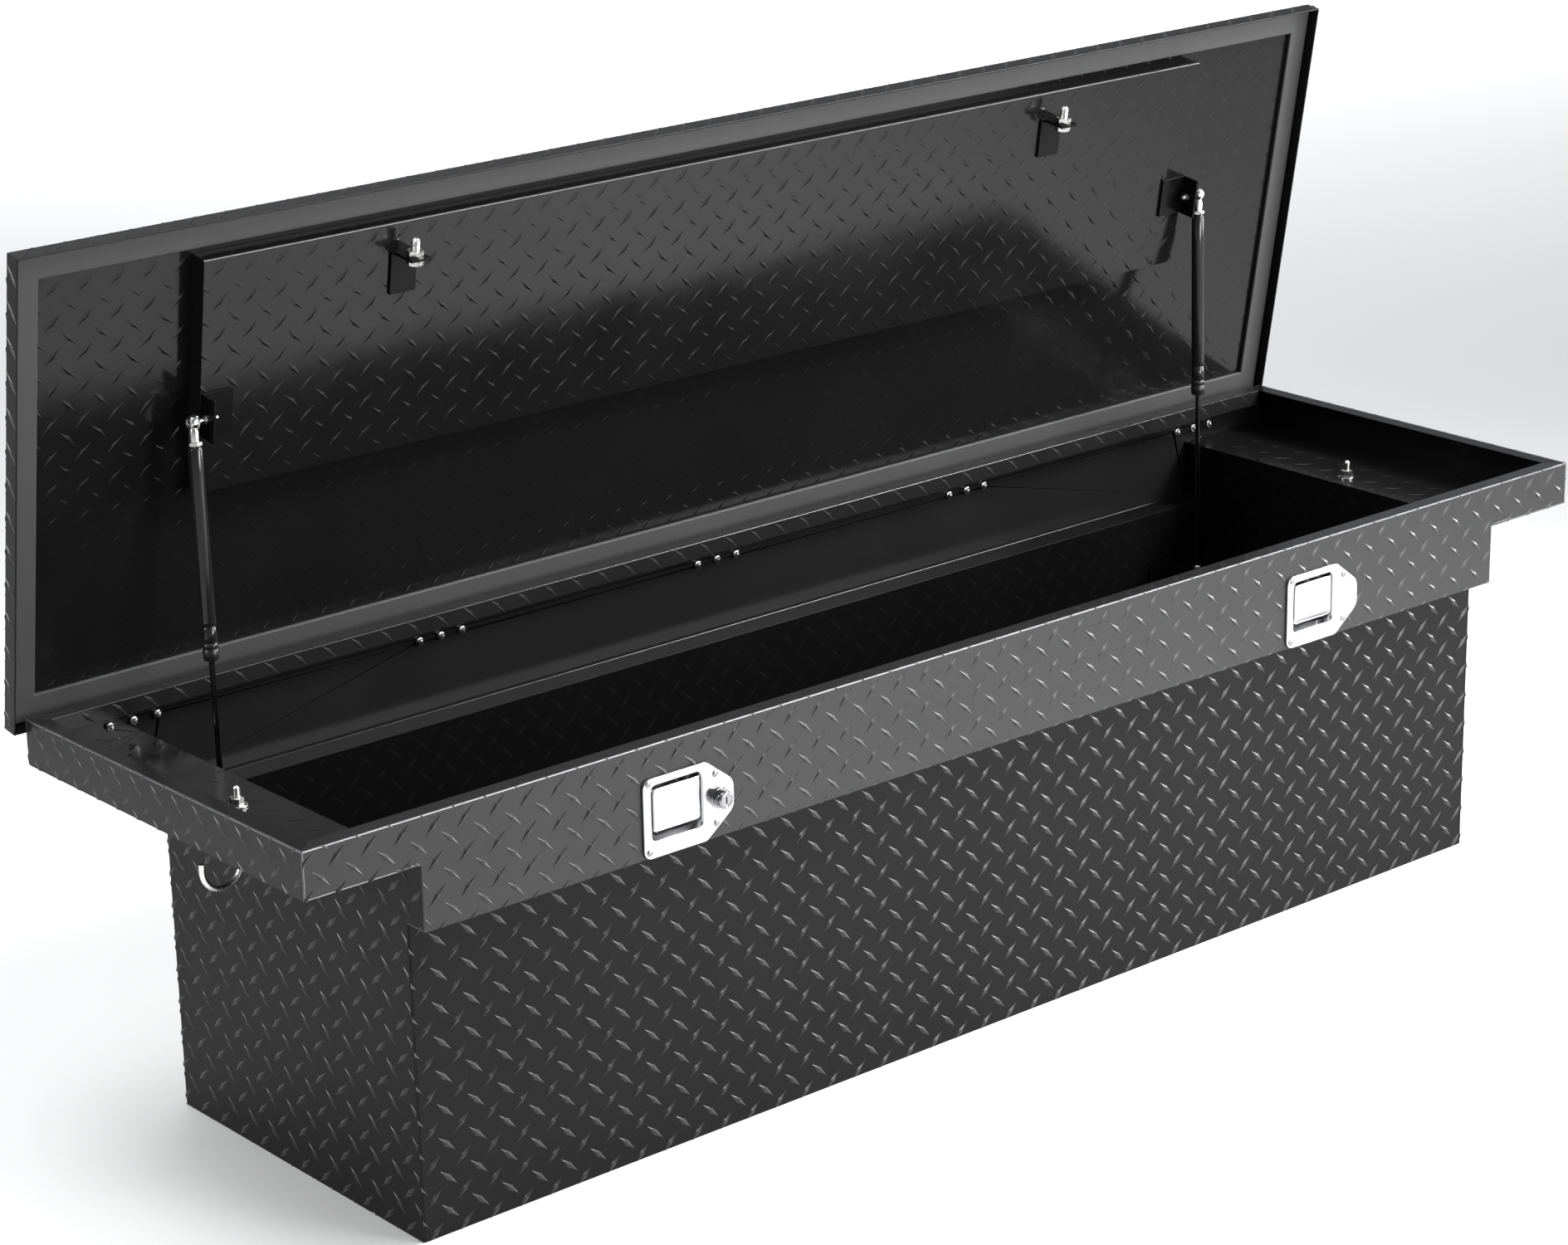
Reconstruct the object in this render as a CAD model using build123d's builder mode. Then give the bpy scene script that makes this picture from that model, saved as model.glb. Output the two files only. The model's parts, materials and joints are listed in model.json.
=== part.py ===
from build123d import *
import math
import os

# A crossover truck tool box: a deep tub that hangs between the bed's side walls, a
# wider saddle that rests on the side walls, and one gas-strut lid shown open.
# Millimetres. X runs along the box, +Y towards the cab (the hinge side), +Z up.
# The origin is the centre of the underside of the tub's floor.

# ---- driving dimensions of the box ----
LENGTH = 1778.0
TUB_LENGTH = 1516.0
TUB_DEPTH = 421.0
HEIGHT = 450.0
SHEET = 2.0
FRONT_SETBACK = 29.0
REAR_SETBACK = 37.0
WING_HEIGHT = 49.0
SKIRT_HEIGHT = 117.0
RIM_FLANGE = 19.0
RIM_LIP = 16.0
TUB_FLANGE_GAP = 4.0

HALF = LENGTH / 2
HALF_TUB = TUB_LENGTH / 2
HALF_INSIDE = HALF_TUB - SHEET
TUB_FRONT = -TUB_DEPTH / 2
TUB_REAR = TUB_DEPTH / 2
FRONT = TUB_FRONT - FRONT_SETBACK
REAR = TUB_REAR + REAR_SETBACK
WING_Z = HEIGHT - WING_HEIGHT
LEDGE_Z = HEIGHT - SKIRT_HEIGHT
RIM_UNDER = HEIGHT - SHEET

# ---- hinges and lid ----
OPEN_ANGLE = 80.6
HINGE_OUT = 5.0
HINGE_DROP = 10.0
HINGE_Y = REAR + HINGE_OUT
HINGE_Z = HEIGHT - HINGE_DROP
HINGE_PITCH = 384.0
HINGE_LENGTH = 90.0
KNUCKLE_R = 4.6
KNUCKLE_HALF = 15.0
KNUCKLE_GAP = 0.3
PIN_R = 2.5
RUNNING_GAP = 0.05
LEAF = 2.5
LEAF_DROP = 35.0
HINGE_BOLT_PITCH = 28.0
HINGE_BOLT_Z = HEIGHT - 31.0
BOLT_R = 2.5
BOLT_HOLE_R = 2.7

LID_HALF = HALF + 11.0
LID_REAR = 7.0
LID_FRONT = FRONT - 7.0 - HINGE_Y
LID_INNER = HINGE_DROP + 5.5
LID_OUTER = LID_INNER + SHEET
LID_SKIRT = 19.0
LID_EDGE = LID_OUTER - LID_SKIRT
GASKET_WIDTH = 28.0
GASKET_THICK = 5.0
GASKET_INSET = 1.0
GASKET_REAR = 2.0

STIFF_HALF = 694.0
STIFF_FRONT = LID_FRONT + 37.0
STIFF_REAR = STIFF_FRONT + 249.0
STIFF_DEPTH = 22.0
STIFF_FACE = LID_INNER - STIFF_DEPTH

# ---- strikers under the lid ----
STRIKER_X = 455.0
STRIKER_W = -27.3
STRIKER_TAB = LID_FRONT + 67.0
STRIKER_TIP = LID_FRONT + 48.0
STRIKER_R = 4.75
STRIKER_PLATE = 3.0

# ---- gas struts ----
STRUT_X = 710.0
LID_BALL_Y = -299.3
LID_BALL_W = -18.8
BOX_BALL_Y = HINGE_Y - 76.0
BOX_BALL_Z = HINGE_Z - 195.0
BALL_R = 5.0
BALL_GAP = 0.3
BALL_TURN = (0, 0, 90)
NECK_R = 2.5
SOCKET_R = 7.0
SOCKET_REACH = 24.0
TUBE_R = 7.5
TUBE_BORE_R = 6.0
TUBE_END = 229.0
COLLAR_END = 247.0
COLLAR_R = 8.2
ROD_R = 3.0
ROD_TOP = 232.0
BRACKET = 3.0
BRACKET_OUT = 694.0
BRACKET_IN = 657.0
BRACKET_HALF = 23.0
OPEN_PIVOT_GAP = 0.4

# ---- bed rail J-bolts ----
J_BOLT_X = {"left": 802.0, "right": 780.0}
J_BOLT_Y = 2.0
J_ROD_R = 3.2
J_BEND_R = 22.5
J_BEND_Z = HEIGHT - 103.0
J_TIP = 8.0
J_TOP = WING_Z + SHEET + 19.0
J_NUT = 8.0
J_NUT_R = 7.4
J_WASHER_R = 10.0

# ---- latches: offsets from the middle of the paddle window, heights below the rim ----
LATCH_X = 455.0
PLATE_LEFT = -42.0
PLATE_RIGHT = 72.0
PLATE_TOP = -34.0
PLATE_LOW = -SKIRT_HEIGHT
PLATE_SHOULDER = 37.0
PLATE_NOSE_TOP = -61.0
PLATE_NOSE_LOW = -90.0
PLATE_THICK = 1.5
LATCH_GASKET = 1.0
WINDOW_HALF = 31.0
WINDOW_TOP = -42.5
WINDOW_LOW = -99.5
PAN_DEPTH = 18.0
PAN_WALL = 1.5
PAN_PLAY = 1.0
PADDLE_HALF = 29.5
PADDLE_TOP = -46.0
PADDLE_LOW = -91.0
PADDLE_FACE = -2.0
PADDLE_BACK = -0.3
PADDLE_PIN_Y = 2.0
PADDLE_PIN_Z = -48.5
PADDLE_PIN_R = 1.5
EAR = 2.0
TAIL_IN = 26.0
TAIL_END = 32.0
TAIL_TOP = -52.5
TAIL_LOW = -58.5
HOOK_PLATE_Y = 43.0
HOOK_PLATE = 4.0
HOOK_PIN_X = 4.0
HOOK_PIN_Z = -66.0
HOOK_PIN_R = 3.0
TAB_Y = 23.0
TAB_TOP = -59.0
FRAME_HALF = 40.0
FRAME_SHEET = 1.5
FRAME_BACK_Y = 48.0
FRAME_TOP = -45.0
FRAME_LOW = -105.0
RIVET_R = 2.0
RIVET_HEAD_R = 3.5
RIVETS = ((-35.5, -38.5), (-35.5, -110.0), (48.5, -49.0), (49.0, -101.0))
LOCK_X = 53.0
LOCK_Z = -75.0
LOCK_R = 9.0
LOCK_BEZEL_R = 11.0
LOCK_PROUD = 12.0
LOCK_BACK = 20.0
PLUG_R = 6.0
CAM = 2.5
CAM_REACH = 12.0

SIDES = (("left", -1), ("right", 1))
HINGE_CENTRES = tuple(HINGE_PITCH * k for k in (-2, -1, 0, 1, 2))
HINGE_BOLT_XS = tuple(
    centre + HINGE_BOLT_PITCH * k for centre in HINGE_CENTRES for k in (-1, 0, 1)
)

# The open lid's own frame: origin on the hinge axis, local Y towards the lid's rear
# edge, local Z out of the lid's painted skin.
tilt = math.radians(OPEN_ANGLE)
LID = Plane(
    origin=(0, HINGE_Y, HINGE_Z),
    x_dir=(1, 0, 0),
    z_dir=(0, math.sin(tilt), math.cos(tilt)),
)

os.makedirs("parts", exist_ok=True)


def save(builder, label):
    """Label a finished piece and write it as one STEP file."""
    builder.part.label = label
    export_step(builder.part, f"parts/{label}.step")


def add_box(low, high, mode=Mode.ADD):
    """Add or cut a box between two opposite corners, given in any order."""
    size = [abs(b - a) for a, b in zip(low, high)]
    centre = tuple((a + b) / 2 for a, b in zip(low, high))
    with Locations(centre):
        Box(*size, mode=mode)


def add_round(low, high, radius, mode=Mode.ADD):
    """Add or cut a cylinder between two points that differ along one axis only."""
    steps = [abs(b - a) for a, b in zip(low, high)]
    turn = ((0, 90, 0), (90, 0, 0), (0, 0, 0))[steps.index(max(steps))]
    centre = tuple((a + b) / 2 for a, b in zip(low, high))
    with Locations(centre):
        Cylinder(radius, max(steps), rotation=turn, mode=mode)


def add_hex(frame, low, high, radius):
    """Add a hexagonal prism between two points of a frame that differ along one axis."""
    start = frame.from_local_coords(Vector(*low))
    step = frame.from_local_coords(Vector(*high)) - start
    with BuildSketch(Plane(origin=start, z_dir=step)) as hexagon:
        RegularPolygon(radius, 6)
    extrude(hexagon.sketch, amount=step.length)


def latch_centre(side):
    return side * LATCH_X


def pan_opening(centre, play, y_low, y_high, mode):
    """The rectangle in which a latch's pan sits, as a box through y_low to y_high."""
    add_box(
        (centre - WINDOW_HALF - play, y_low, HEIGHT + WINDOW_LOW - play),
        (centre + WINDOW_HALF + play, y_high, HEIGHT + WINDOW_TOP + play),
        mode,
    )


def latch_holes(side, y_low, y_high, play):
    """Rivet holes, and the lock's hole on the left latch, cut through y_low to y_high."""
    centre = latch_centre(side)
    for x, z in RIVETS:
        add_round(
            (centre + x, y_low, HEIGHT + z),
            (centre + x, y_high, HEIGHT + z),
            RIVET_R + play,
            Mode.SUBTRACT,
        )
    if side < 0:
        add_round(
            (centre + LOCK_X, y_low, HEIGHT + LOCK_Z),
            (centre + LOCK_X, y_high, HEIGHT + LOCK_Z),
            LOCK_R + play,
            Mode.SUBTRACT,
        )


# ---- tub ----


def make_tub_shell():
    """Floor, front wall, rear wall and their top flanges: one bent sheet."""
    flange_top = LEDGE_Z + 2 * SHEET
    with BuildPart() as tub_shell:
        with BuildSketch(Plane.YZ):
            with Locations((0, SHEET / 2)):
                Rectangle(TUB_DEPTH, SHEET)
            for wall in (TUB_FRONT + SHEET / 2, TUB_REAR - SHEET / 2):
                with Locations((wall, flange_top / 2)):
                    Rectangle(SHEET, flange_top)
            for wall, skirt in ((TUB_FRONT, FRONT), (TUB_REAR, REAR)):
                inward = math.copysign(SHEET, wall)
                end = skirt - inward - math.copysign(TUB_FLANGE_GAP, wall)
                start = wall - inward
                with Locations(((start + end) / 2, flange_top - SHEET / 2)):
                    Rectangle(abs(end - start), SHEET)
        extrude(amount=HALF_INSIDE, both=True)
    save(tub_shell, "tub_shell")


def make_tub_end(name, side):
    """Flat end panel. Above the ledge it widens to meet both skirts."""
    inner = side * HALF_INSIDE
    outer = side * HALF_TUB
    with BuildPart() as tub_end:
        add_box((inner, TUB_FRONT, 0), (outer, TUB_REAR, WING_Z))
        add_box(
            (inner, FRONT + SHEET, LEDGE_Z + SHEET), (outer, REAR - SHEET, WING_Z)
        )
    save(tub_end, f"tub_end_{name}")


# ---- saddle ----


def skirt_outline():
    """Stepped outline of a skirt: full length above, tub length below the wings."""
    Polygon(
        (-HALF, HEIGHT),
        (HALF, HEIGHT),
        (HALF, WING_Z),
        (HALF_TUB, WING_Z),
        (HALF_TUB, LEDGE_Z),
        (-HALF_TUB, LEDGE_Z),
        (-HALF_TUB, WING_Z),
        (-HALF, WING_Z),
        align=None,
    )


def add_skirt_body(outside, inward):
    """Skirt sheet, mitred rim flange, stiffening lip and the ledge's return flange."""
    inside = outside + inward * SHEET
    flange = outside + inward * RIM_FLANGE
    tub_wall = TUB_FRONT if inward > 0 else TUB_REAR
    with BuildSketch(Plane.XZ.offset(-inside)) as sheet:
        skirt_outline()
    extrude(sheet.sketch, amount=inward * SHEET)
    with BuildSketch(Plane.XY.offset(RIM_UNDER)) as rim:
        Polygon(
            (-HALF + SHEET, inside),
            (HALF - SHEET, inside),
            (HALF - RIM_FLANGE, flange),
            (-HALF + RIM_FLANGE, flange),
            align=None,
        )
    extrude(rim.sketch, amount=SHEET)
    lip_end = HALF - RIM_FLANGE
    add_box(
        (-lip_end, flange - inward * SHEET, RIM_UNDER - RIM_LIP),
        (lip_end, flange, RIM_UNDER),
    )
    add_box((-HALF_TUB, inside, LEDGE_Z), (HALF_TUB, tub_wall, LEDGE_Z + SHEET))


def make_front_skirt():
    with BuildPart() as front_skirt:
        add_skirt_body(FRONT, 1)
        for _, side in SIDES:
            pan_opening(
                latch_centre(side),
                PAN_WALL + PAN_PLAY,
                FRONT - 1,
                FRONT + SHEET + 1,
                Mode.SUBTRACT,
            )
            latch_holes(side, FRONT - 1, FRONT + SHEET + 1, 0.2)
    save(front_skirt, "front_skirt")


def make_rear_skirt():
    with BuildPart() as rear_skirt:
        add_skirt_body(REAR, -1)
        for x in HINGE_BOLT_XS:
            add_round(
                (x, REAR - SHEET - 1, HINGE_BOLT_Z),
                (x, REAR + 1, HINGE_BOLT_Z),
                BOLT_HOLE_R,
                Mode.SUBTRACT,
            )
    save(rear_skirt, "rear_skirt")


def make_wing(name, side):
    """Shallow tray that rests on the bed rail: floor, end wall and rim flange."""
    low_y = FRONT + SHEET
    high_y = REAR - SHEET
    with BuildPart() as wing:
        add_box(
            (side * HALF_INSIDE, low_y, WING_Z), (side * HALF, high_y, WING_Z + SHEET)
        )
        add_box((side * (HALF - SHEET), low_y, WING_Z), (side * HALF, high_y, HEIGHT))
        with BuildSketch(Plane.XY.offset(RIM_UNDER)):
            Polygon(
                (side * HALF, low_y),
                (side * (HALF - SHEET), low_y),
                (side * (HALF - RIM_FLANGE), FRONT + RIM_FLANGE),
                (side * (HALF - RIM_FLANGE), REAR - RIM_FLANGE),
                (side * (HALF - SHEET), high_y),
                (side * HALF, high_y),
                align=None,
            )
        extrude(amount=SHEET)
        x = side * J_BOLT_X[name]
        add_round(
            (x, J_BOLT_Y, WING_Z - 1),
            (x, J_BOLT_Y, WING_Z + SHEET + 1),
            J_ROD_R + 0.4,
            Mode.SUBTRACT,
        )
    save(wing, f"wing_{name}")


# ---- bed rail J-bolts ----


def make_j_bolts():
    """A threaded rod through each wing, bent into a hook whose tip points outboard."""
    with BuildPart() as j_bolts:
        for name, side in SIDES:
            x = side * J_BOLT_X[name]
            tip_x = x + side * 2 * J_BEND_R
            mid = (x + side * J_BEND_R, J_BEND_Z - J_BEND_R)
            with BuildLine(Plane.XZ.offset(-J_BOLT_Y)) as path:
                Line((x, J_TOP), (x, J_BEND_Z))
                ThreePointArc((x, J_BEND_Z), mid, (tip_x, J_BEND_Z))
                Line((tip_x, J_BEND_Z), (tip_x, J_BEND_Z + J_TIP))
            with BuildSketch(Plane(origin=(x, J_BOLT_Y, J_TOP), z_dir=(0, 0, -1))):
                Circle(J_ROD_R)
            sweep(path=path.wire())
    save(j_bolts, "j_bolts")

    floor = WING_Z + SHEET
    with BuildPart() as j_bolt_washers:
        for name, side in SIDES:
            x = side * J_BOLT_X[name]
            low = (x, J_BOLT_Y, floor)
            high = (x, J_BOLT_Y, floor + SHEET)
            add_round(low, high, J_WASHER_R)
            add_round(low, high, J_ROD_R + 0.2, Mode.SUBTRACT)
    save(j_bolt_washers, "j_bolt_washers")

    with BuildPart() as j_bolt_nuts:
        for name, side in SIDES:
            x = side * J_BOLT_X[name]
            low = (x, J_BOLT_Y, floor + SHEET)
            high = (x, J_BOLT_Y, floor + SHEET + J_NUT)
            add_hex(Plane.XY, low, high, J_NUT_R)
            add_round(low, high, J_ROD_R + 0.05, Mode.SUBTRACT)
    save(j_bolt_nuts, "j_bolt_nuts")


# ---- hinges ----


def make_hinge_body_leaves():
    """Leaf bolted to the rear skirt, with a knuckle at each end."""
    with BuildPart() as hinge_body_leaves:
        for centre in HINGE_CENTRES:
            left = centre - HINGE_LENGTH / 2
            right = centre + HINGE_LENGTH / 2
            add_box((left, REAR, HINGE_Z - LEAF_DROP), (right, REAR + LEAF, HINGE_Z))
            inner = KNUCKLE_HALF + KNUCKLE_GAP
            add_box(
                (centre - inner, REAR - 1, HINGE_Z - KNUCKLE_R - 1),
                (centre + inner, REAR + LEAF + 1, HINGE_Z + 1),
                Mode.SUBTRACT,
            )
            for start, end in ((left, centre - inner), (centre + inner, right)):
                low = (start, HINGE_Y, HINGE_Z)
                high = (end, HINGE_Y, HINGE_Z)
                add_round(low, high, KNUCKLE_R)
                add_round(low, high, PIN_R + RUNNING_GAP, Mode.SUBTRACT)
        for x in HINGE_BOLT_XS:
            add_round(
                (x, REAR - 1, HINGE_BOLT_Z),
                (x, REAR + LEAF + 1, HINGE_BOLT_Z),
                BOLT_HOLE_R,
                Mode.SUBTRACT,
            )
    save(hinge_body_leaves, "hinge_body_leaves")


def make_hinge_lid_leaves():
    """Leaf welded inside the lid's rear skirt, with one knuckle in the middle."""
    leaf_out = LID_REAR - SHEET
    leaf_in = leaf_out - LEAF
    with BuildPart(LID) as hinge_lid_leaves:
        for centre in HINGE_CENTRES:
            half = HINGE_LENGTH / 2
            add_box(
                (centre - half, leaf_in, KNUCKLE_R + 2),
                (centre + half, leaf_out, LID_INNER),
            )
            add_box(
                (centre - KNUCKLE_HALF, leaf_in, 0),
                (centre + KNUCKLE_HALF, leaf_out, KNUCKLE_R + 2),
            )
            low = (centre - KNUCKLE_HALF, 0, 0)
            high = (centre + KNUCKLE_HALF, 0, 0)
            add_round(low, high, KNUCKLE_R)
            add_round(low, high, PIN_R + RUNNING_GAP, Mode.SUBTRACT)
    save(hinge_lid_leaves, "hinge_lid_leaves")


def make_hinge_fasteners():
    with BuildPart() as hinge_pins:
        for centre in HINGE_CENTRES:
            half = HINGE_LENGTH / 2 + 1
            add_round(
                (centre - half, HINGE_Y, HINGE_Z), (centre + half, HINGE_Y, HINGE_Z), PIN_R
            )
    save(hinge_pins, "hinge_pins")

    head_face = REAR + LEAF
    inside = REAR - SHEET
    nut = 4.0
    with BuildPart() as hinge_bolts:
        for x in HINGE_BOLT_XS:
            z = HINGE_BOLT_Z
            add_round((x, inside - nut - 2, z), (x, head_face, z), BOLT_R)
            add_round((x, head_face, z), (x, head_face + 2.5, z), BOLT_R + 2)
    save(hinge_bolts, "hinge_bolts")

    with BuildPart() as hinge_nuts:
        for x in HINGE_BOLT_XS:
            low = (x, inside - nut, HINGE_BOLT_Z)
            high = (x, inside, HINGE_BOLT_Z)
            add_hex(Plane.XY, low, high, BOLT_R + 2.1)
            add_round(low, high, BOLT_R + RUNNING_GAP, Mode.SUBTRACT)
    save(hinge_nuts, "hinge_nuts")


# ---- lid, in its own frame ----


def make_lid_skin():
    """A shallow pan: one sheet folded down into a skirt on all four sides."""
    with BuildPart(LID) as lid_skin:
        add_box((-LID_HALF, LID_FRONT, LID_EDGE), (LID_HALF, LID_REAR, LID_OUTER))
        add_box(
            (-LID_HALF + SHEET, LID_FRONT + SHEET, LID_EDGE - 1),
            (LID_HALF - SHEET, LID_REAR - SHEET, LID_INNER),
            Mode.SUBTRACT,
        )
    save(lid_skin, "lid_skin")


def make_lid_gasket():
    """Foam strip all round the lid's underside, where the rim meets it."""
    half = LID_HALF - SHEET - GASKET_INSET
    front = LID_FRONT + SHEET + GASKET_INSET
    low = LID_INNER - GASKET_THICK
    with BuildPart(LID) as lid_gasket:
        add_box((-half, front, low), (half, GASKET_REAR, LID_INNER))
        add_box(
            (-half + GASKET_WIDTH, front + GASKET_WIDTH, low - 1),
            (half - GASKET_WIDTH, GASKET_REAR - GASKET_WIDTH, LID_INNER + 1),
            Mode.SUBTRACT,
        )
    save(lid_gasket, "lid_gasket")


def make_lid_stiffener():
    """Hat panel welded under the skin: a face sheet with four turned edges."""
    with BuildPart(LID) as lid_stiffener:
        add_box((-STIFF_HALF, STIFF_FRONT, STIFF_FACE), (STIFF_HALF, STIFF_REAR, LID_INNER))
        add_box(
            (-STIFF_HALF + SHEET, STIFF_FRONT + SHEET, STIFF_FACE + SHEET),
            (STIFF_HALF - SHEET, STIFF_REAR - SHEET, LID_INNER + 1),
            Mode.SUBTRACT,
        )
    save(lid_stiffener, "lid_stiffener")


def make_strikers():
    """Angle bracket, bolt and nut that each latch hook catches."""
    face = STIFF_FACE
    with BuildPart(LID) as striker_brackets:
        for _, side in SIDES:
            x = side * STRIKER_X
            tab_back = STRIKER_TAB + STRIKER_PLATE
            add_box(
                (x - 16, STRIKER_TAB, face - STRIKER_PLATE), (x + 16, STRIKER_TAB + 46, face)
            )
            add_box((x - 12, STRIKER_TAB, STRIKER_W - 11), (x + 12, tab_back, face))
            add_round(
                (x, STRIKER_TAB - 1, STRIKER_W),
                (x, tab_back + 1, STRIKER_W),
                STRIKER_R + 0.2,
                Mode.SUBTRACT,
            )
    save(striker_brackets, "striker_brackets")

    with BuildPart(LID) as striker_bolts:
        for _, side in SIDES:
            x = side * STRIKER_X
            head = STRIKER_TAB + STRIKER_PLATE
            add_round((x, STRIKER_TIP, STRIKER_W), (x, head, STRIKER_W), STRIKER_R)
            add_hex(LID, (x, head, STRIKER_W), (x, head + 6.5, STRIKER_W), 9.0)
    save(striker_bolts, "striker_bolts")

    with BuildPart(LID) as striker_nuts:
        for _, side in SIDES:
            x = side * STRIKER_X
            low = (x, STRIKER_TAB - 6, STRIKER_W)
            high = (x, STRIKER_TAB, STRIKER_W)
            add_hex(LID, low, high, 9.0)
            add_round(low, high, STRIKER_R + RUNNING_GAP, Mode.SUBTRACT)
    save(striker_nuts, "striker_nuts")


# ---- gas struts ----


def strut_plane(side):
    """Origin at the lid ball, local Z down the strut, local X along the box."""
    ball = LID.from_local_coords(Vector(side * STRUT_X, LID_BALL_Y, LID_BALL_W))
    foot = Vector(side * STRUT_X, BOX_BALL_Y, BOX_BALL_Z)
    return Plane(origin=ball, x_dir=(1, 0, 0), z_dir=foot - ball)


def strut_length():
    ball = LID.from_local_coords(Vector(0, LID_BALL_Y, LID_BALL_W))
    return (Vector(0, BOX_BALL_Y, BOX_BALL_Z) - ball).length


def make_lid_strut_brackets():
    face = STIFF_FACE
    low_y = LID_BALL_Y - BRACKET_HALF
    high_y = LID_BALL_Y + BRACKET_HALF
    with BuildPart(LID) as lid_strut_brackets:
        for _, side in SIDES:
            web_in = side * (BRACKET_OUT - BRACKET)
            web_out = side * BRACKET_OUT
            add_box((side * BRACKET_IN, low_y, face - BRACKET), (web_out, high_y, face))
            add_box((web_in, low_y, LID_BALL_W - 13), (web_out, high_y, face))
            add_round(
                (web_in - side, LID_BALL_Y, LID_BALL_W),
                (web_out + side, LID_BALL_Y, LID_BALL_W),
                NECK_R + 0.1,
                Mode.SUBTRACT,
            )
    save(lid_strut_brackets, "lid_strut_brackets")

    with BuildPart(LID) as lid_ball_studs:
        for _, side in SIDES:
            ball = (side * STRUT_X, LID_BALL_Y, LID_BALL_W)
            end = (side * (BRACKET_OUT - 12), LID_BALL_Y, LID_BALL_W)
            shoulder = (side * (BRACKET_OUT + 2), LID_BALL_Y, LID_BALL_W)
            flush = (side * BRACKET_OUT, LID_BALL_Y, LID_BALL_W)
            with Locations(ball):
                Sphere(BALL_R, rotation=BALL_TURN)
            add_round(end, ball, NECK_R)
            add_round(flush, shoulder, NECK_R + 2)
    save(lid_ball_studs, "lid_ball_studs")

    with BuildPart(LID) as lid_stud_nuts:
        for _, side in SIDES:
            start = side * (BRACKET_OUT - BRACKET)
            low = (start, LID_BALL_Y, LID_BALL_W)
            high = (start - side * 5, LID_BALL_Y, LID_BALL_W)
            add_hex(LID, low, high, 5.2)
            add_round(low, high, NECK_R + RUNNING_GAP, Mode.SUBTRACT)
    save(lid_stud_nuts, "lid_stud_nuts")


def make_strut_box_brackets():
    wall = TUB_REAR - SHEET
    low_z = BOX_BALL_Z - BRACKET_HALF
    high_z = BOX_BALL_Z + BRACKET_HALF
    with BuildPart() as strut_box_brackets:
        for _, side in SIDES:
            web_in = side * (BRACKET_OUT - BRACKET)
            web_out = side * BRACKET_OUT
            add_box((side * BRACKET_IN, wall - BRACKET, low_z), (web_out, wall, high_z))
            add_box((web_in, BOX_BALL_Y - 13, low_z), (web_out, wall, high_z))
    save(strut_box_brackets, "strut_box_brackets")

    with BuildPart() as strut_box_nuts:
        for _, side in SIDES:
            start = side * (BRACKET_OUT - BRACKET)
            low = (start, BOX_BALL_Y, BOX_BALL_Z)
            high = (start - side * 5, BOX_BALL_Y, BOX_BALL_Z)
            add_hex(Plane.XY, low, high, 5.2)
    save(strut_box_nuts, "strut_box_nuts")


def add_socket(side, ball_z, far_z):
    """Ball cup and shank from ball_z to far_z, open on the side of the ball's stud."""
    away = math.copysign(SOCKET_R + 1, ball_z - far_z)
    add_round((0, 0, ball_z + away), (0, 0, far_z), SOCKET_R)
    with Locations((0, 0, ball_z)):
        Sphere(BALL_R + BALL_GAP, rotation=BALL_TURN, mode=Mode.SUBTRACT)
    add_round(
        (0, 0, ball_z), (-side * (SOCKET_R + 2), 0, ball_z), NECK_R + 1, Mode.SUBTRACT
    )


def make_strut(name, side):
    plane = strut_plane(side)
    length = strut_length()

    with BuildPart(plane) as upper_socket:
        add_socket(side, 0, SOCKET_REACH)
    save(upper_socket, f"strut_upper_socket_{name}")

    with BuildPart(plane) as cylinder:
        add_round((0, 0, SOCKET_REACH), (0, 0, TUBE_END), TUBE_R)
        add_round(
            (0, 0, SOCKET_REACH + SHEET), (0, 0, TUBE_END + 1), TUBE_BORE_R, Mode.SUBTRACT
        )
    save(cylinder, f"strut_cylinder_{name}")

    with BuildPart(plane) as guide:
        add_round((0, 0, TUBE_END), (0, 0, COLLAR_END), COLLAR_R)
        add_round(
            (0, 0, TUBE_END), (0, 0, COLLAR_END), ROD_R + RUNNING_GAP, Mode.SUBTRACT
        )
    save(guide, f"strut_guide_{name}")

    rod_foot = length - SOCKET_REACH
    with BuildPart(plane) as rod:
        add_round((0, 0, ROD_TOP), (0, 0, rod_foot), ROD_R)
    save(rod, f"strut_rod_{name}")

    with BuildPart(plane) as lower_socket:
        add_socket(side, length, rod_foot)
    save(lower_socket, f"strut_lower_socket_{name}")

    # The lower stud rides with the rod and stops just short of the bracket's web.
    shank = side * (BRACKET_OUT + OPEN_PIVOT_GAP - STRUT_X)
    with BuildPart(plane) as lower_stud:
        with Locations((0, 0, length)):
            Sphere(BALL_R, rotation=BALL_TURN)
        add_round((0, 0, length), (shank, 0, length), NECK_R)
    save(lower_stud, f"strut_lower_stud_{name}")


# ---- latches: offsets are from the window's middle, the rim and the front face ----


def latch_plane(side):
    """Local X along the box, local Y rearwards, local Z up, origin on the rim's edge."""
    return Plane(origin=(latch_centre(side), FRONT, HEIGHT), x_dir=(1, 0, 0), z_dir=(0, 0, 1))


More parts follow.
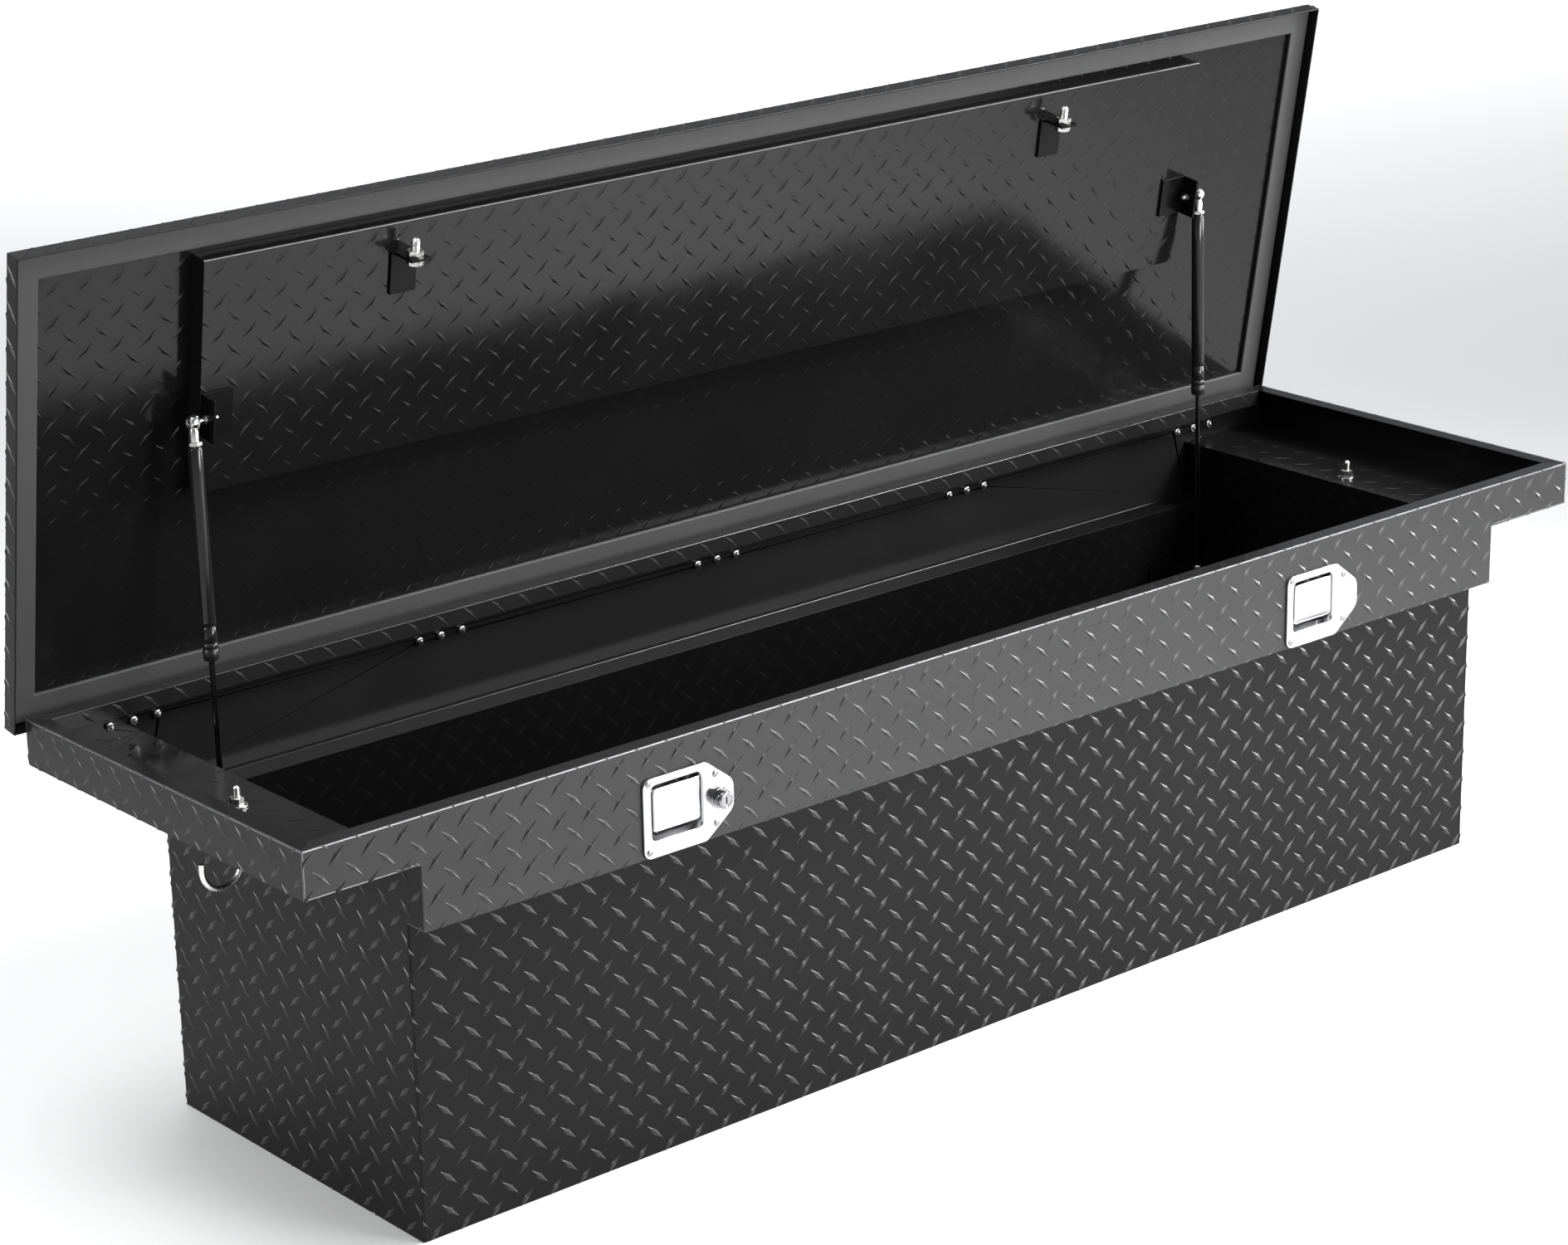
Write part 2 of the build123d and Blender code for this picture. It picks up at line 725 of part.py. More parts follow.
def plate_outline(grow):
    """Latch plate: square on the left, tapering to a rounded nose on the right."""
    with BuildLine() as edge:
        Polyline(
            (PLATE_LEFT - grow, PLATE_TOP + grow),
            (PLATE_SHOULDER, PLATE_TOP + grow),
            (PLATE_RIGHT + grow, PLATE_NOSE_TOP),
            (PLATE_RIGHT + grow, PLATE_NOSE_LOW),
            (PLATE_SHOULDER, PLATE_LOW),
            (PLATE_LEFT - grow, PLATE_LOW),
            close=True,
        )
    make_face(edge.edges())
    fillet(vertices().sort_by(Axis.X)[:2], 9)
    fillet(vertices().filter_by(lambda v: abs(v.X - PLATE_SHOULDER) < 0.5), 8)
    fillet(vertices().filter_by(lambda v: v.X > PLATE_RIGHT - 0.5), 14)


def make_latch(name, side):
    centre = latch_centre(side)
    plane = latch_plane(side)
    plate_back = FRONT - LATCH_GASKET
    face = plate_back - PLATE_THICK

    with BuildPart() as latch_gasket:
        with BuildSketch(Plane((centre, FRONT, HEIGHT), x_dir=(1, 0, 0), z_dir=(0, -1, 0))):
            plate_outline(0.6)
        extrude(amount=LATCH_GASKET)
        pan_opening(centre, PAN_WALL + PAN_PLAY, FRONT - 3, FRONT + 1, Mode.SUBTRACT)
        latch_holes(side, FRONT - 3, FRONT + 1, 0.2)
    save(latch_gasket, f"latch_gasket_{name}")

    pan_back = FRONT + PAN_DEPTH
    with BuildPart() as escutcheon:
        with BuildSketch(Plane((centre, plate_back, HEIGHT), x_dir=(1, 0, 0), z_dir=(0, -1, 0))):
            plate_outline(0)
        extrude(amount=PLATE_THICK)
        pan_opening(centre, PAN_WALL, plate_back, pan_back + PAN_WALL, Mode.ADD)
        pan_opening(centre, 0, face - 1, pan_back, Mode.SUBTRACT)
        latch_holes(side, face - 1, plate_back + 1, 0.1)
        # Slot for the paddle's tail, and the holes of the paddle's pin.
        add_box(
            (centre + TAIL_IN - 1.5, pan_back - 1, HEIGHT - 68),
            (centre + WINDOW_HALF, pan_back + PAN_WALL + 1, HEIGHT - 50),
            Mode.SUBTRACT,
        )
        reach = WINDOW_HALF + PAN_WALL + 1
        pin_y = FRONT + PADDLE_PIN_Y
        pin_z = HEIGHT + PADDLE_PIN_Z
        add_round(
            (centre - reach, pin_y, pin_z),
            (centre + reach, pin_y, pin_z),
            PADDLE_PIN_R + 0.05,
            Mode.SUBTRACT,
        )
    save(escutcheon, f"latch_escutcheon_{name}")

    with BuildPart(plane) as paddle_pin:
        end = WINDOW_HALF + PAN_WALL + 0.5
        add_round(
            (-end, PADDLE_PIN_Y, PADDLE_PIN_Z), (end, PADDLE_PIN_Y, PADDLE_PIN_Z), PADDLE_PIN_R
        )
    save(paddle_pin, f"latch_paddle_pin_{name}")

    make_paddle(name, plane)
    make_latch_frame(name, side, plane)
    make_hook(name, plane)
    make_latch_spring(name, side)

    with BuildPart() as latch_rivets:
        for x, z in RIVETS:
            rivet_x = centre + x
            rivet_z = HEIGHT + z
            tail = FRONT + SHEET + FRAME_SHEET
            add_round((rivet_x, face, rivet_z), (rivet_x, tail + 1, rivet_z), RIVET_R)
            add_round((rivet_x, face - 1.2, rivet_z), (rivet_x, face, rivet_z), RIVET_HEAD_R)
            add_round((rivet_x, tail, rivet_z), (rivet_x, tail + 1.2, rivet_z), RIVET_HEAD_R - 0.5)
    save(latch_rivets, f"latch_rivets_{name}")


def make_paddle(name, plane):
    """Pull plate with a finger lip, two ears on the pin and a tail that works the hook."""
    with BuildPart(plane) as paddle:
        add_box((-PADDLE_HALF, PADDLE_FACE, PADDLE_LOW), (PADDLE_HALF, PADDLE_BACK, PADDLE_TOP))
        add_box((-PADDLE_HALF, PADDLE_BACK, PADDLE_LOW), (PADDLE_HALF, 5, PADDLE_LOW + 1.7))
        for ear_side in (-1, 1):
            add_box(
                (ear_side * (PADDLE_HALF - EAR), PADDLE_BACK, PADDLE_TOP - 6),
                (ear_side * PADDLE_HALF, PADDLE_PIN_Y + 2.5, PADDLE_TOP),
            )
        tail_outline = (
            (PADDLE_BACK, PADDLE_TOP),
            (PADDLE_PIN_Y + 2.5, PADDLE_TOP),
            (PADDLE_PIN_Y + 6, TAIL_TOP),
            (TAIL_END, TAIL_TOP),
            (TAIL_END, TAIL_LOW),
            (PADDLE_PIN_Y + 4, TAIL_LOW),
            (PADDLE_BACK, TAIL_LOW + 3),
        )
        tail_plane = Plane(
            origin=plane.from_local_coords(Vector(TAIL_IN, 0, 0)), x_dir=(0, 1, 0), z_dir=(1, 0, 0)
        )
        with BuildSketch(tail_plane):
            Polygon(*tail_outline, align=None)
        extrude(amount=PADDLE_HALF - TAIL_IN)
        add_round(
            (-PADDLE_HALF - 1, PADDLE_PIN_Y, PADDLE_PIN_Z),
            (PADDLE_HALF + 1, PADDLE_PIN_Y, PADDLE_PIN_Z),
            PADDLE_PIN_R + RUNNING_GAP,
            Mode.SUBTRACT,
        )
    save(paddle, f"latch_paddle_{name}")


def make_latch_frame(name, side, plane):
    """Backing flange, two cheeks and a rear plate that carries the hook's pin."""
    flange_y = SHEET + FRAME_SHEET
    with BuildPart(plane) as latch_frame:
        add_box((-FRAME_HALF - 2, SHEET, -112.5), (66, flange_y, -35))
        for cheek in (-1, 1):
            add_box(
                (cheek * (FRAME_HALF - FRAME_SHEET), flange_y, FRAME_LOW),
                (cheek * FRAME_HALF, FRAME_BACK_Y + 2, FRAME_TOP),
            )
        add_box((-FRAME_HALF, FRAME_BACK_Y, FRAME_LOW), (FRAME_HALF, FRAME_BACK_Y + 2, -58))
        play = WINDOW_HALF + PAN_WALL + PAN_PLAY
        add_box((-play, 1, -102), (play, flange_y + 1, -40), Mode.SUBTRACT)
        for x, z in RIVETS:
            add_round((x, 1, z), (x, flange_y + 1, z), RIVET_R + 0.1, Mode.SUBTRACT)
        if side < 0:
            add_round(
                (LOCK_X, 1, LOCK_Z), (LOCK_X, flange_y + 1, LOCK_Z), LOCK_R + 0.5, Mode.SUBTRACT
            )
        add_round(
            (HOOK_PIN_X, FRAME_BACK_Y - 1, HOOK_PIN_Z),
            (HOOK_PIN_X, FRAME_BACK_Y + 3, HOOK_PIN_Z),
            HOOK_PIN_R + 0.05,
            Mode.SUBTRACT,
        )
    save(latch_frame, f"latch_frame_{name}")


def make_hook(name, plane):
    """Beak over the striker, hung on a pin, with a tab under the paddle's tail."""
    outline = (
        (-2, -66),
        (6.5, -50),
        (6.5, -32),
        (-7, -32),
        (-7, -26),
        (15, -26),
        (15, TAB_TOP),
        (31, TAB_TOP),
        (31, TAB_TOP - 5),
        (9, -74),
        (-2, -74),
    )
    hook_plane = Plane(
        origin=plane.from_local_coords(Vector(0, HOOK_PLATE_Y + HOOK_PLATE, 0)),
        x_dir=(1, 0, 0),
        z_dir=(0, -1, 0),
    )
    with BuildPart(plane) as hook:
        with BuildSketch(hook_plane):
            Polygon(*outline, align=None)
        extrude(amount=HOOK_PLATE)
        add_box((25, TAB_Y, TAB_TOP - 4), (31, HOOK_PLATE_Y, TAB_TOP))
        add_round(
            (HOOK_PIN_X, HOOK_PLATE_Y - 1, HOOK_PIN_Z),
            (HOOK_PIN_X, HOOK_PLATE_Y + HOOK_PLATE + 1, HOOK_PIN_Z),
            HOOK_PIN_R + RUNNING_GAP,
            Mode.SUBTRACT,
        )
    save(hook, f"latch_hook_{name}")

    with BuildPart(plane) as hook_pin:
        x = HOOK_PIN_X
        z = HOOK_PIN_Z
        add_round((x, HOOK_PLATE_Y - 0.4, z), (x, FRAME_BACK_Y + 3, z), HOOK_PIN_R)
        add_round((x, HOOK_PLATE_Y - 2.4, z), (x, HOOK_PLATE_Y - 0.4, z), HOOK_PIN_R + 2)
    save(hook_pin, f"latch_hook_pin_{name}")


def make_latch_spring(name, side):
    """Torsion spring's coil round the paddle's pin."""
    turns_length = 16.0
    start = Vector(
        latch_centre(side) - turns_length / 2, FRONT + PADDLE_PIN_Y, HEIGHT + PADDLE_PIN_Z
    )
    with BuildPart() as latch_spring:
        with BuildLine() as coil:
            Helix(2.0, turns_length, 1.9, center=start, direction=(1, 0, 0))
        wire_start = coil.wire() @ 0
        with BuildSketch(Plane(origin=wire_start, z_dir=coil.wire() % 0)):
            Circle(0.25)
        sweep(path=coil.wire(), is_frenet=True)
    save(latch_spring, f"latch_spring_{name}")


def make_lock():
    """Key cylinder of the left latch: housing, turning plug and cam."""
    plane = latch_plane(-1)
    plate_face = -LATCH_GASKET - PLATE_THICK
    front = plate_face - LOCK_PROUD
    x = LOCK_X
    z = LOCK_Z
    with BuildPart(plane) as lock_housing:
        add_round((x, front, z), (x, LOCK_BACK, z), LOCK_R)
        add_round((x, plate_face - 2, z), (x, plate_face, z), LOCK_BEZEL_R)
        add_round((x, front - 1, z), (x, LOCK_BACK + 1, z), PLUG_R + RUNNING_GAP, Mode.SUBTRACT)
    save(lock_housing, "lock_housing")

    with BuildPart(plane) as lock_plug:
        add_round((x, front + 0.4, z), (x, LOCK_BACK + 0.5, z), PLUG_R)
        add_box((x - 0.8, front - 1, z - 3.5), (x + 0.8, front + 5, z + 3.5), Mode.SUBTRACT)
    save(lock_plug, "lock_plug")

    with BuildPart(plane) as lock_cam:
        cam_y = LOCK_BACK + 0.5
        add_round((x, cam_y, z), (x, cam_y + CAM, z), PLUG_R + 1)
        add_box((x - 3, cam_y, z - CAM_REACH), (x + 3, cam_y + CAM, z))
    save(lock_cam, "lock_cam")


make_tub_shell()
make_front_skirt()
make_rear_skirt()
make_j_bolts()
make_hinge_body_leaves()
make_hinge_lid_leaves()
make_hinge_fasteners()
make_lid_skin()
make_lid_gasket()
make_lid_stiffener()
make_strikers()
make_lid_strut_brackets()
make_strut_box_brackets()
for side_name, side_sign in SIDES:
    make_tub_end(side_name, side_sign)
    make_wing(side_name, side_sign)
    make_strut(side_name, side_sign)
    make_latch(side_name, side_sign)
make_lock()
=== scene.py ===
import json
import math

import bmesh
import bpy
from mathutils import Matrix, Vector


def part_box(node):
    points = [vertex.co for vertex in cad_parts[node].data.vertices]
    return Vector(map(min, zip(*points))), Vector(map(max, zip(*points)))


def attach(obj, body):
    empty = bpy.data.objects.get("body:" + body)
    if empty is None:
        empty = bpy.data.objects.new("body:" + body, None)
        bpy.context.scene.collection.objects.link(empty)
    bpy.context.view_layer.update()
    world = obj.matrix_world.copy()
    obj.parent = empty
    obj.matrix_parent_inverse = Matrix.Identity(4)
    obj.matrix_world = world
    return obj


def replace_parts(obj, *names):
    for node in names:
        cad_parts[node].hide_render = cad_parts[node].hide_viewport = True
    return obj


# Looks of the crossover truck tool box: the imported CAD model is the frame, and the
# embossed treads, threads, nuts, welds and wire clips are added on it. Metres.

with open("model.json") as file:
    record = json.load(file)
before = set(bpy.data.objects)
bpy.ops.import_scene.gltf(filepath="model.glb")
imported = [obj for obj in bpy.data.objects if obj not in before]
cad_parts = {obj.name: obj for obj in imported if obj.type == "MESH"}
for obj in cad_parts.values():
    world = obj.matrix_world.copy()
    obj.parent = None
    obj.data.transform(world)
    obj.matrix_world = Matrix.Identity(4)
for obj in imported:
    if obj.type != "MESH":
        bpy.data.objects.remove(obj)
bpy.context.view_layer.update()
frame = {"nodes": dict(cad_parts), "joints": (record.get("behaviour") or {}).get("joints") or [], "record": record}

MM = 0.001
SHEET = 2.0 * MM
JOINTS = {joint["name"]: joint for joint in frame["joints"]}
SIDES = (("left", -1), ("right", 1))
X = Vector((1, 0, 0))
Y = Vector((0, 1, 0))
Z = Vector((0, 0, 1))

# ---- places read from the frame ----
SKIRT_LOW, SKIRT_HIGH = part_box("front_skirt")
TUB_LOW, TUB_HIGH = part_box("tub_end_left")[0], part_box("tub_end_right")[1]
FRONT = SKIRT_LOW.y
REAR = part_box("rear_skirt")[1].y
HALF = SKIRT_HIGH.x
HEIGHT = SKIRT_HIGH.z
LEDGE = SKIRT_LOW.z
HALF_TUB = TUB_HIGH.x
WING_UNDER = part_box("wing_left")[0].z
TUB_DEPTH = 421.0 * MM
TUB_FRONT = -TUB_DEPTH / 2
TUB_REAR = TUB_DEPTH / 2
RIM_FLANGE = 19.0 * MM
RIM_LIP = 16.0 * MM

# ---- the lid's own directions at rest: along, towards its rear edge, out of its skin ----
HINGE = Vector(JOINTS["lid_hinge"]["pos_m"])
OPEN = math.radians(JOINTS["lid_hinge"]["range_deg"][1])
LID_BACK = Vector((0, math.cos(OPEN), -math.sin(OPEN)))
LID_OUT = Vector((0, math.sin(OPEN), math.cos(OPEN)))
LID_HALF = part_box("lid_skin")[1].x
LID_REAR = 7.0 * MM
LID_FRONT = -499.0 * MM
LID_INNER = 15.5 * MM
LID_OUTER = 17.5 * MM
LID_EDGE = -1.5 * MM
STIFF_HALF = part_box("lid_stiffener")[1].x
STIFF_FRONT = -462.0 * MM
STIFF_REAR = -213.0 * MM
STIFF_FACE = -6.5 * MM
GASKET_IN = 31.0 * MM


def lid_point(x, y, w):
    return HINGE + X * x + LID_BACK * y + LID_OUT * w


# ---------------------------------------------------------------- materials


def new_material(name):
    """An empty node material with its Principled shader, and the node and link makers."""
    material = bpy.data.materials.new(name)
    material.use_nodes = True
    nodes = material.node_tree.nodes
    links = material.node_tree.links
    shader = nodes["Principled BSDF"]
    return material, nodes, links, shader


def noise(nodes, links, coords, scale, detail=3.0, rough=0.5):
    node = nodes.new("ShaderNodeTexNoise")
    node.inputs["Scale"].default_value = scale
    node.inputs["Detail"].default_value = detail
    node.inputs["Roughness"].default_value = rough
    links.new(coords, node.inputs["Vector"])
    return node.outputs["Fac"]


def map_range(nodes, links, value, low, high, from_low=0.0, from_high=1.0):
    node = nodes.new("ShaderNodeMapRange")
    node.inputs["From Min"].default_value = from_low
    node.inputs["From Max"].default_value = from_high
    node.inputs["To Min"].default_value = low
    node.inputs["To Max"].default_value = high
    links.new(value, node.inputs["Value"])
    return node.outputs["Result"]


def math_node(nodes, links, operation, first, second):
    node = nodes.new("ShaderNodeMath")
    node.operation = operation
    for socket, value in zip(node.inputs, (first, second)):
        if isinstance(value, (int, float)):
            socket.default_value = value
        else:
            links.new(value, socket)
    return node.outputs["Value"]


def mix_colour(nodes, links, factor, first, second):
    node = nodes.new("ShaderNodeMix")
    node.data_type = "RGBA"
    links.new(factor, node.inputs["Factor"])
    node.inputs["A"].default_value = (*first, 1.0)
    node.inputs["B"].default_value = (*second, 1.0)
    return node.outputs["Result"]


def bump(nodes, links, height, distance, strength=1.0, below=None):
    node = nodes.new("ShaderNodeBump")
    node.inputs["Distance"].default_value = distance
    node.inputs["Strength"].default_value = strength
    links.new(height, node.inputs["Height"])
    if below is not None:
        links.new(below, node.inputs["Normal"])
    return node.outputs["Normal"]


def stretched(nodes, links, coords, scale):
    node = nodes.new("ShaderNodeMapping")
    node.inputs["Scale"].default_value = scale
    links.new(coords, node.inputs["Vector"])
    return node.outputs["Vector"]


def paint(name, outside, inside, centre=None, colour=0.020, wave=0.0009, specular=0.5):
    """Black coating with orange peel, sheet waviness and dust.

    outside and inside are roughness values. A surface that faces away from centre is
    the outside, and one that faces it is the inside.
    """
    material, nodes, links, shader = new_material(name)
    place = nodes.new("ShaderNodeTexCoord")
    coords = place.outputs["Object"]
    cloud = noise(nodes, links, coords, 9.0, 4.0, 0.6)
    speck = noise(nodes, links, coords, 160.0, 5.0, 0.7)
    if centre is None:
        base_rough = map_range(nodes, links, cloud, outside - 0.03, outside + 0.03, 0.3, 0.7)
    else:
        offset = nodes.new("ShaderNodeVectorMath")
        offset.operation = "SUBTRACT"
        offset.inputs[1].default_value = centre
        links.new(coords, offset.inputs[0])
        facing = nodes.new("ShaderNodeVectorMath")
        facing.operation = "DOT_PRODUCT"
        links.new(offset.outputs["Vector"], facing.inputs[0])
        links.new(place.outputs["Normal"], facing.inputs[1])
        side = map_range(nodes, links, facing.outputs["Value"], inside, outside, -0.0004, 0.0004)
        drift = map_range(nodes, links, cloud, -0.03, 0.03, 0.3, 0.7)
        base_rough = math_node(nodes, links, "ADD", side, drift)
    smear = map_range(nodes, links, speck, -0.02, 0.05, 0.35, 0.75)
    links.new(math_node(nodes, links, "ADD", base_rough, smear), shader.inputs["Roughness"])
    dark = tuple(colour * k for k in (0.82, 0.82, 0.84))
    light = tuple(colour * k for k in (1.22, 1.22, 1.25))
    links.new(mix_colour(nodes, links, cloud, dark, light), shader.inputs["Base Color"])
    sag = bump(nodes, links, noise(nodes, links, coords, 7.0, 1.5), wave)
    peel = bump(nodes, links, noise(nodes, links, coords, 900.0, 2.0), 0.00003, 0.6, sag)
    links.new(peel, shader.inputs["Normal"])
    shader.inputs["Specular IOR Level"].default_value = specular
    return material


def metal(name, colour, rough, grain=(1.0, 1.0, 1.0), grain_scale=220.0, depth=0.00002, spread=0.08):
    """Bare or plated metal. grain is the stretch of its brush marks along each axis."""
    material, nodes, links, shader = new_material(name)
    coords = nodes.new("ShaderNodeTexCoord").outputs["Object"]
    brushed = noise(nodes, links, stretched(nodes, links, coords, grain), grain_scale, 4.0, 0.6)
    patch = noise(nodes, links, coords, 35.0, 3.0, 0.6)
    both = math_node(nodes, links, "MULTIPLY", brushed, patch)
    links.new(map_range(nodes, links, both, rough - spread, rough + spread, 0.1, 0.45), shader.inputs["Roughness"])
    dull = tuple(c * 0.86 for c in colour)
    links.new(mix_colour(nodes, links, patch, dull, colour), shader.inputs["Base Color"])
    links.new(bump(nodes, links, brushed, depth, 0.5), shader.inputs["Normal"])
    shader.inputs["Metallic"].default_value = 1.0
    return material


def soft(name, colour, rough, scale, depth):
    """Foam or rubber: matte, with pores and a slow change of shade."""
    material, nodes, links, shader = new_material(name)
    coords = nodes.new("ShaderNodeTexCoord").outputs["Object"]
    shade = noise(nodes, links, coords, 14.0, 3.0, 0.6)
    pores = noise(nodes, links, coords, scale, 4.0, 0.65)
    dark = tuple(c * 0.8 for c in colour)
    light = tuple(min(1.0, c * 1.15) for c in colour)
    links.new(mix_colour(nodes, links, shade, dark, light), shader.inputs["Base Color"])
    links.new(map_range(nodes, links, pores, rough - 0.08, rough + 0.06), shader.inputs["Roughness"])
    links.new(bump(nodes, links, pores, depth, 0.8), shader.inputs["Normal"])
    return material


BOX_CENTRE = (0.0, 0.0, HEIGHT + 20 * MM)
LID_CENTRE = tuple(lid_point(0, -0.246, 5 * MM))

# Painted shade: the tub's walls and ends, below the skirts and wings, get a darker and less reflective copy of the
# box paint.
TUB_SHADED_PAINT = paint("tub_paint", 0.36, 0.20, BOX_CENTRE, colour=0.0045, specular=0.12)
BOX_PAINT = paint("box_paint", 0.36, 0.18, BOX_CENTRE, colour=0.012, specular=0.43)
# Painted shade: the wing nodes get a darker and less reflective copy of the box paint.
WING_SHADED_PAINT = paint("wing_paint", 0.34, 0.18, BOX_CENTRE, colour=0.006, specular=0.26)
LID_PAINT = paint("lid_paint", 0.36, 0.12, LID_CENTRE, colour=0.007, specular=0.24)
LINER_PAINT = paint("liner_paint", 0.12, 0.12, colour=0.007, specular=0.24)
OUTER_TREAD = paint("outer_tread_paint", 0.30, 0.30, colour=0.012, wave=0.0, specular=0.42)
INNER_TREAD = paint("inner_tread_paint", 0.14, 0.14, colour=0.007, wave=0.0, specular=0.26)
# Light grey metal for the thin lines along the folds: painted highlights.
FOLD_HIGHLIGHT_METAL = metal("rubbed_edge", (0.27, 0.27, 0.28), 0.36)
BRACKET_PAINT = paint("bracket_paint", 0.22, 0.22, colour=0.004, wave=0.0, specular=0.09)
STRUT_PAINT = paint("strut_paint", 0.14, 0.14, colour=0.012, wave=0.0)
COLLAR = paint("strut_collar_plastic", 0.30, 0.30, colour=0.012, wave=0.0)
HINGE_PLATE = metal("hinge_black_zinc", (0.10, 0.10, 0.11), 0.38)
STAINLESS = metal("polished_stainless", (0.52, 0.52, 0.53), 0.17, (1.0, 1.0, 14.0), 160.0, 0.000015, 0.07)
RIVET_STEEL = metal("rivet_steel", (0.30, 0.30, 0.31), 0.24)
ZINC = metal("bright_zinc", (0.80, 0.80, 0.78), 0.26)
CHROME = metal("lock_chrome", (0.34, 0.34, 0.35), 0.14)
ROD = metal("nitrided_rod", (0.22, 0.22, 0.23), 0.18, (1.0, 1.0, 0.1))
SPRING = metal("spring_wire", (0.45, 0.45, 0.46), 0.3)
FOAM = soft("weatherstrip_foam", (0.038, 0.038, 0.039), 0.65, 900.0, 0.0001)
RUBBER = soft("latch_rubber", (0.02, 0.02, 0.02), 0.6, 500.0, 0.00004)

BY_SLOT = {
    "tread_plate": BOX_PAINT,
    "lid_liner": LINER_PAINT,
    "bracket_black": BRACKET_PAINT,
    "hinge_black": HINGE_PLATE,
    "stainless": STAINLESS,
    "zinc": ZINC,
    "foam": FOAM,
    "latch_rubber": RUBBER,
    "strut_black": STRUT_PAINT,
    "strut_collar": COLLAR,
    "strut_rod": ROD,
    "lock_chrome": CHROME,
    "spring_steel": SPRING,
}

BY_NODE = {
    "lid_skin": LID_PAINT,
    "wing_left": WING_SHADED_PAINT,
    "wing_right": WING_SHADED_PAINT,
    "tub_shell": TUB_SHADED_PAINT,
    "tub_end_left": TUB_SHADED_PAINT,
    "tub_end_right": TUB_SHADED_PAINT,
}

# Radius of the folded or cut edges of the CAD nodes, by material slot, in millimetres.
EDGE_RADIUS = {
    "tread_plate": 0.8,
    "lid_liner": 0.8,
    "bracket_black": 0.5,
    "hinge_black": 0.4,
    "stainless": 0.45,
    "zinc": 0.3,
    "foam": 1.6,
    "latch_rubber": 0.3,
    "strut_collar": 0.6,
    "lock_chrome": 0.5,
}


def finish_nodes():
    """Give each CAD node its material, and round its edges with modifiers."""
    for part in frame["record"]["subparts"]:
        node = frame["nodes"][part["node"]]
        slot_name = part["material_slot"]
        material = BY_NODE.get(part["node"], BY_SLOT[slot_name])
        for slot in node.material_slots:
            slot.link = "OBJECT"
            slot.material = material
        radius = EDGE_RADIUS.get(slot_name)
        if radius is None:
            continue
        weld = node.modifiers.new("weld", "WELD")
        weld.merge_threshold = 0.00001
        bevel = node.modifiers.new("edges", "BEVEL")
        bevel.width = radius * MM
        bevel.segments = 3
        bevel.limit_method = "ANGLE"
        bevel.angle_limit = math.radians(35)
        bevel.use_clamp_overlap = True
        bevel.harden_normals = False
        smooth = node.modifiers.new("normals", "WEIGHTED_NORMAL")
        smooth.keep_sharp = False


finish_nodes()

# ---------------------------------------------------------------- mesh helpers


def make_object(name, vertices, faces, material, body, smooth=True):
    mesh = bpy.data.meshes.new(name)
    mesh.from_pydata(vertices, [], faces)
    mesh.materials.append(material)
    mesh.polygons.foreach_set("use_smooth", [smooth] * len(mesh.polygons))
    mesh.update()
    piece = bpy.data.objects.new(name, mesh)
    bpy.context.scene.collection.objects.link(piece)
    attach(piece, body)
    return piece


def axes_across(axis):
    """Two unit directions square to an axis."""
    axis = Vector(axis).normalized()
    first = axis.orthogonal().normalized()
    return first, axis.cross(first).normalized()


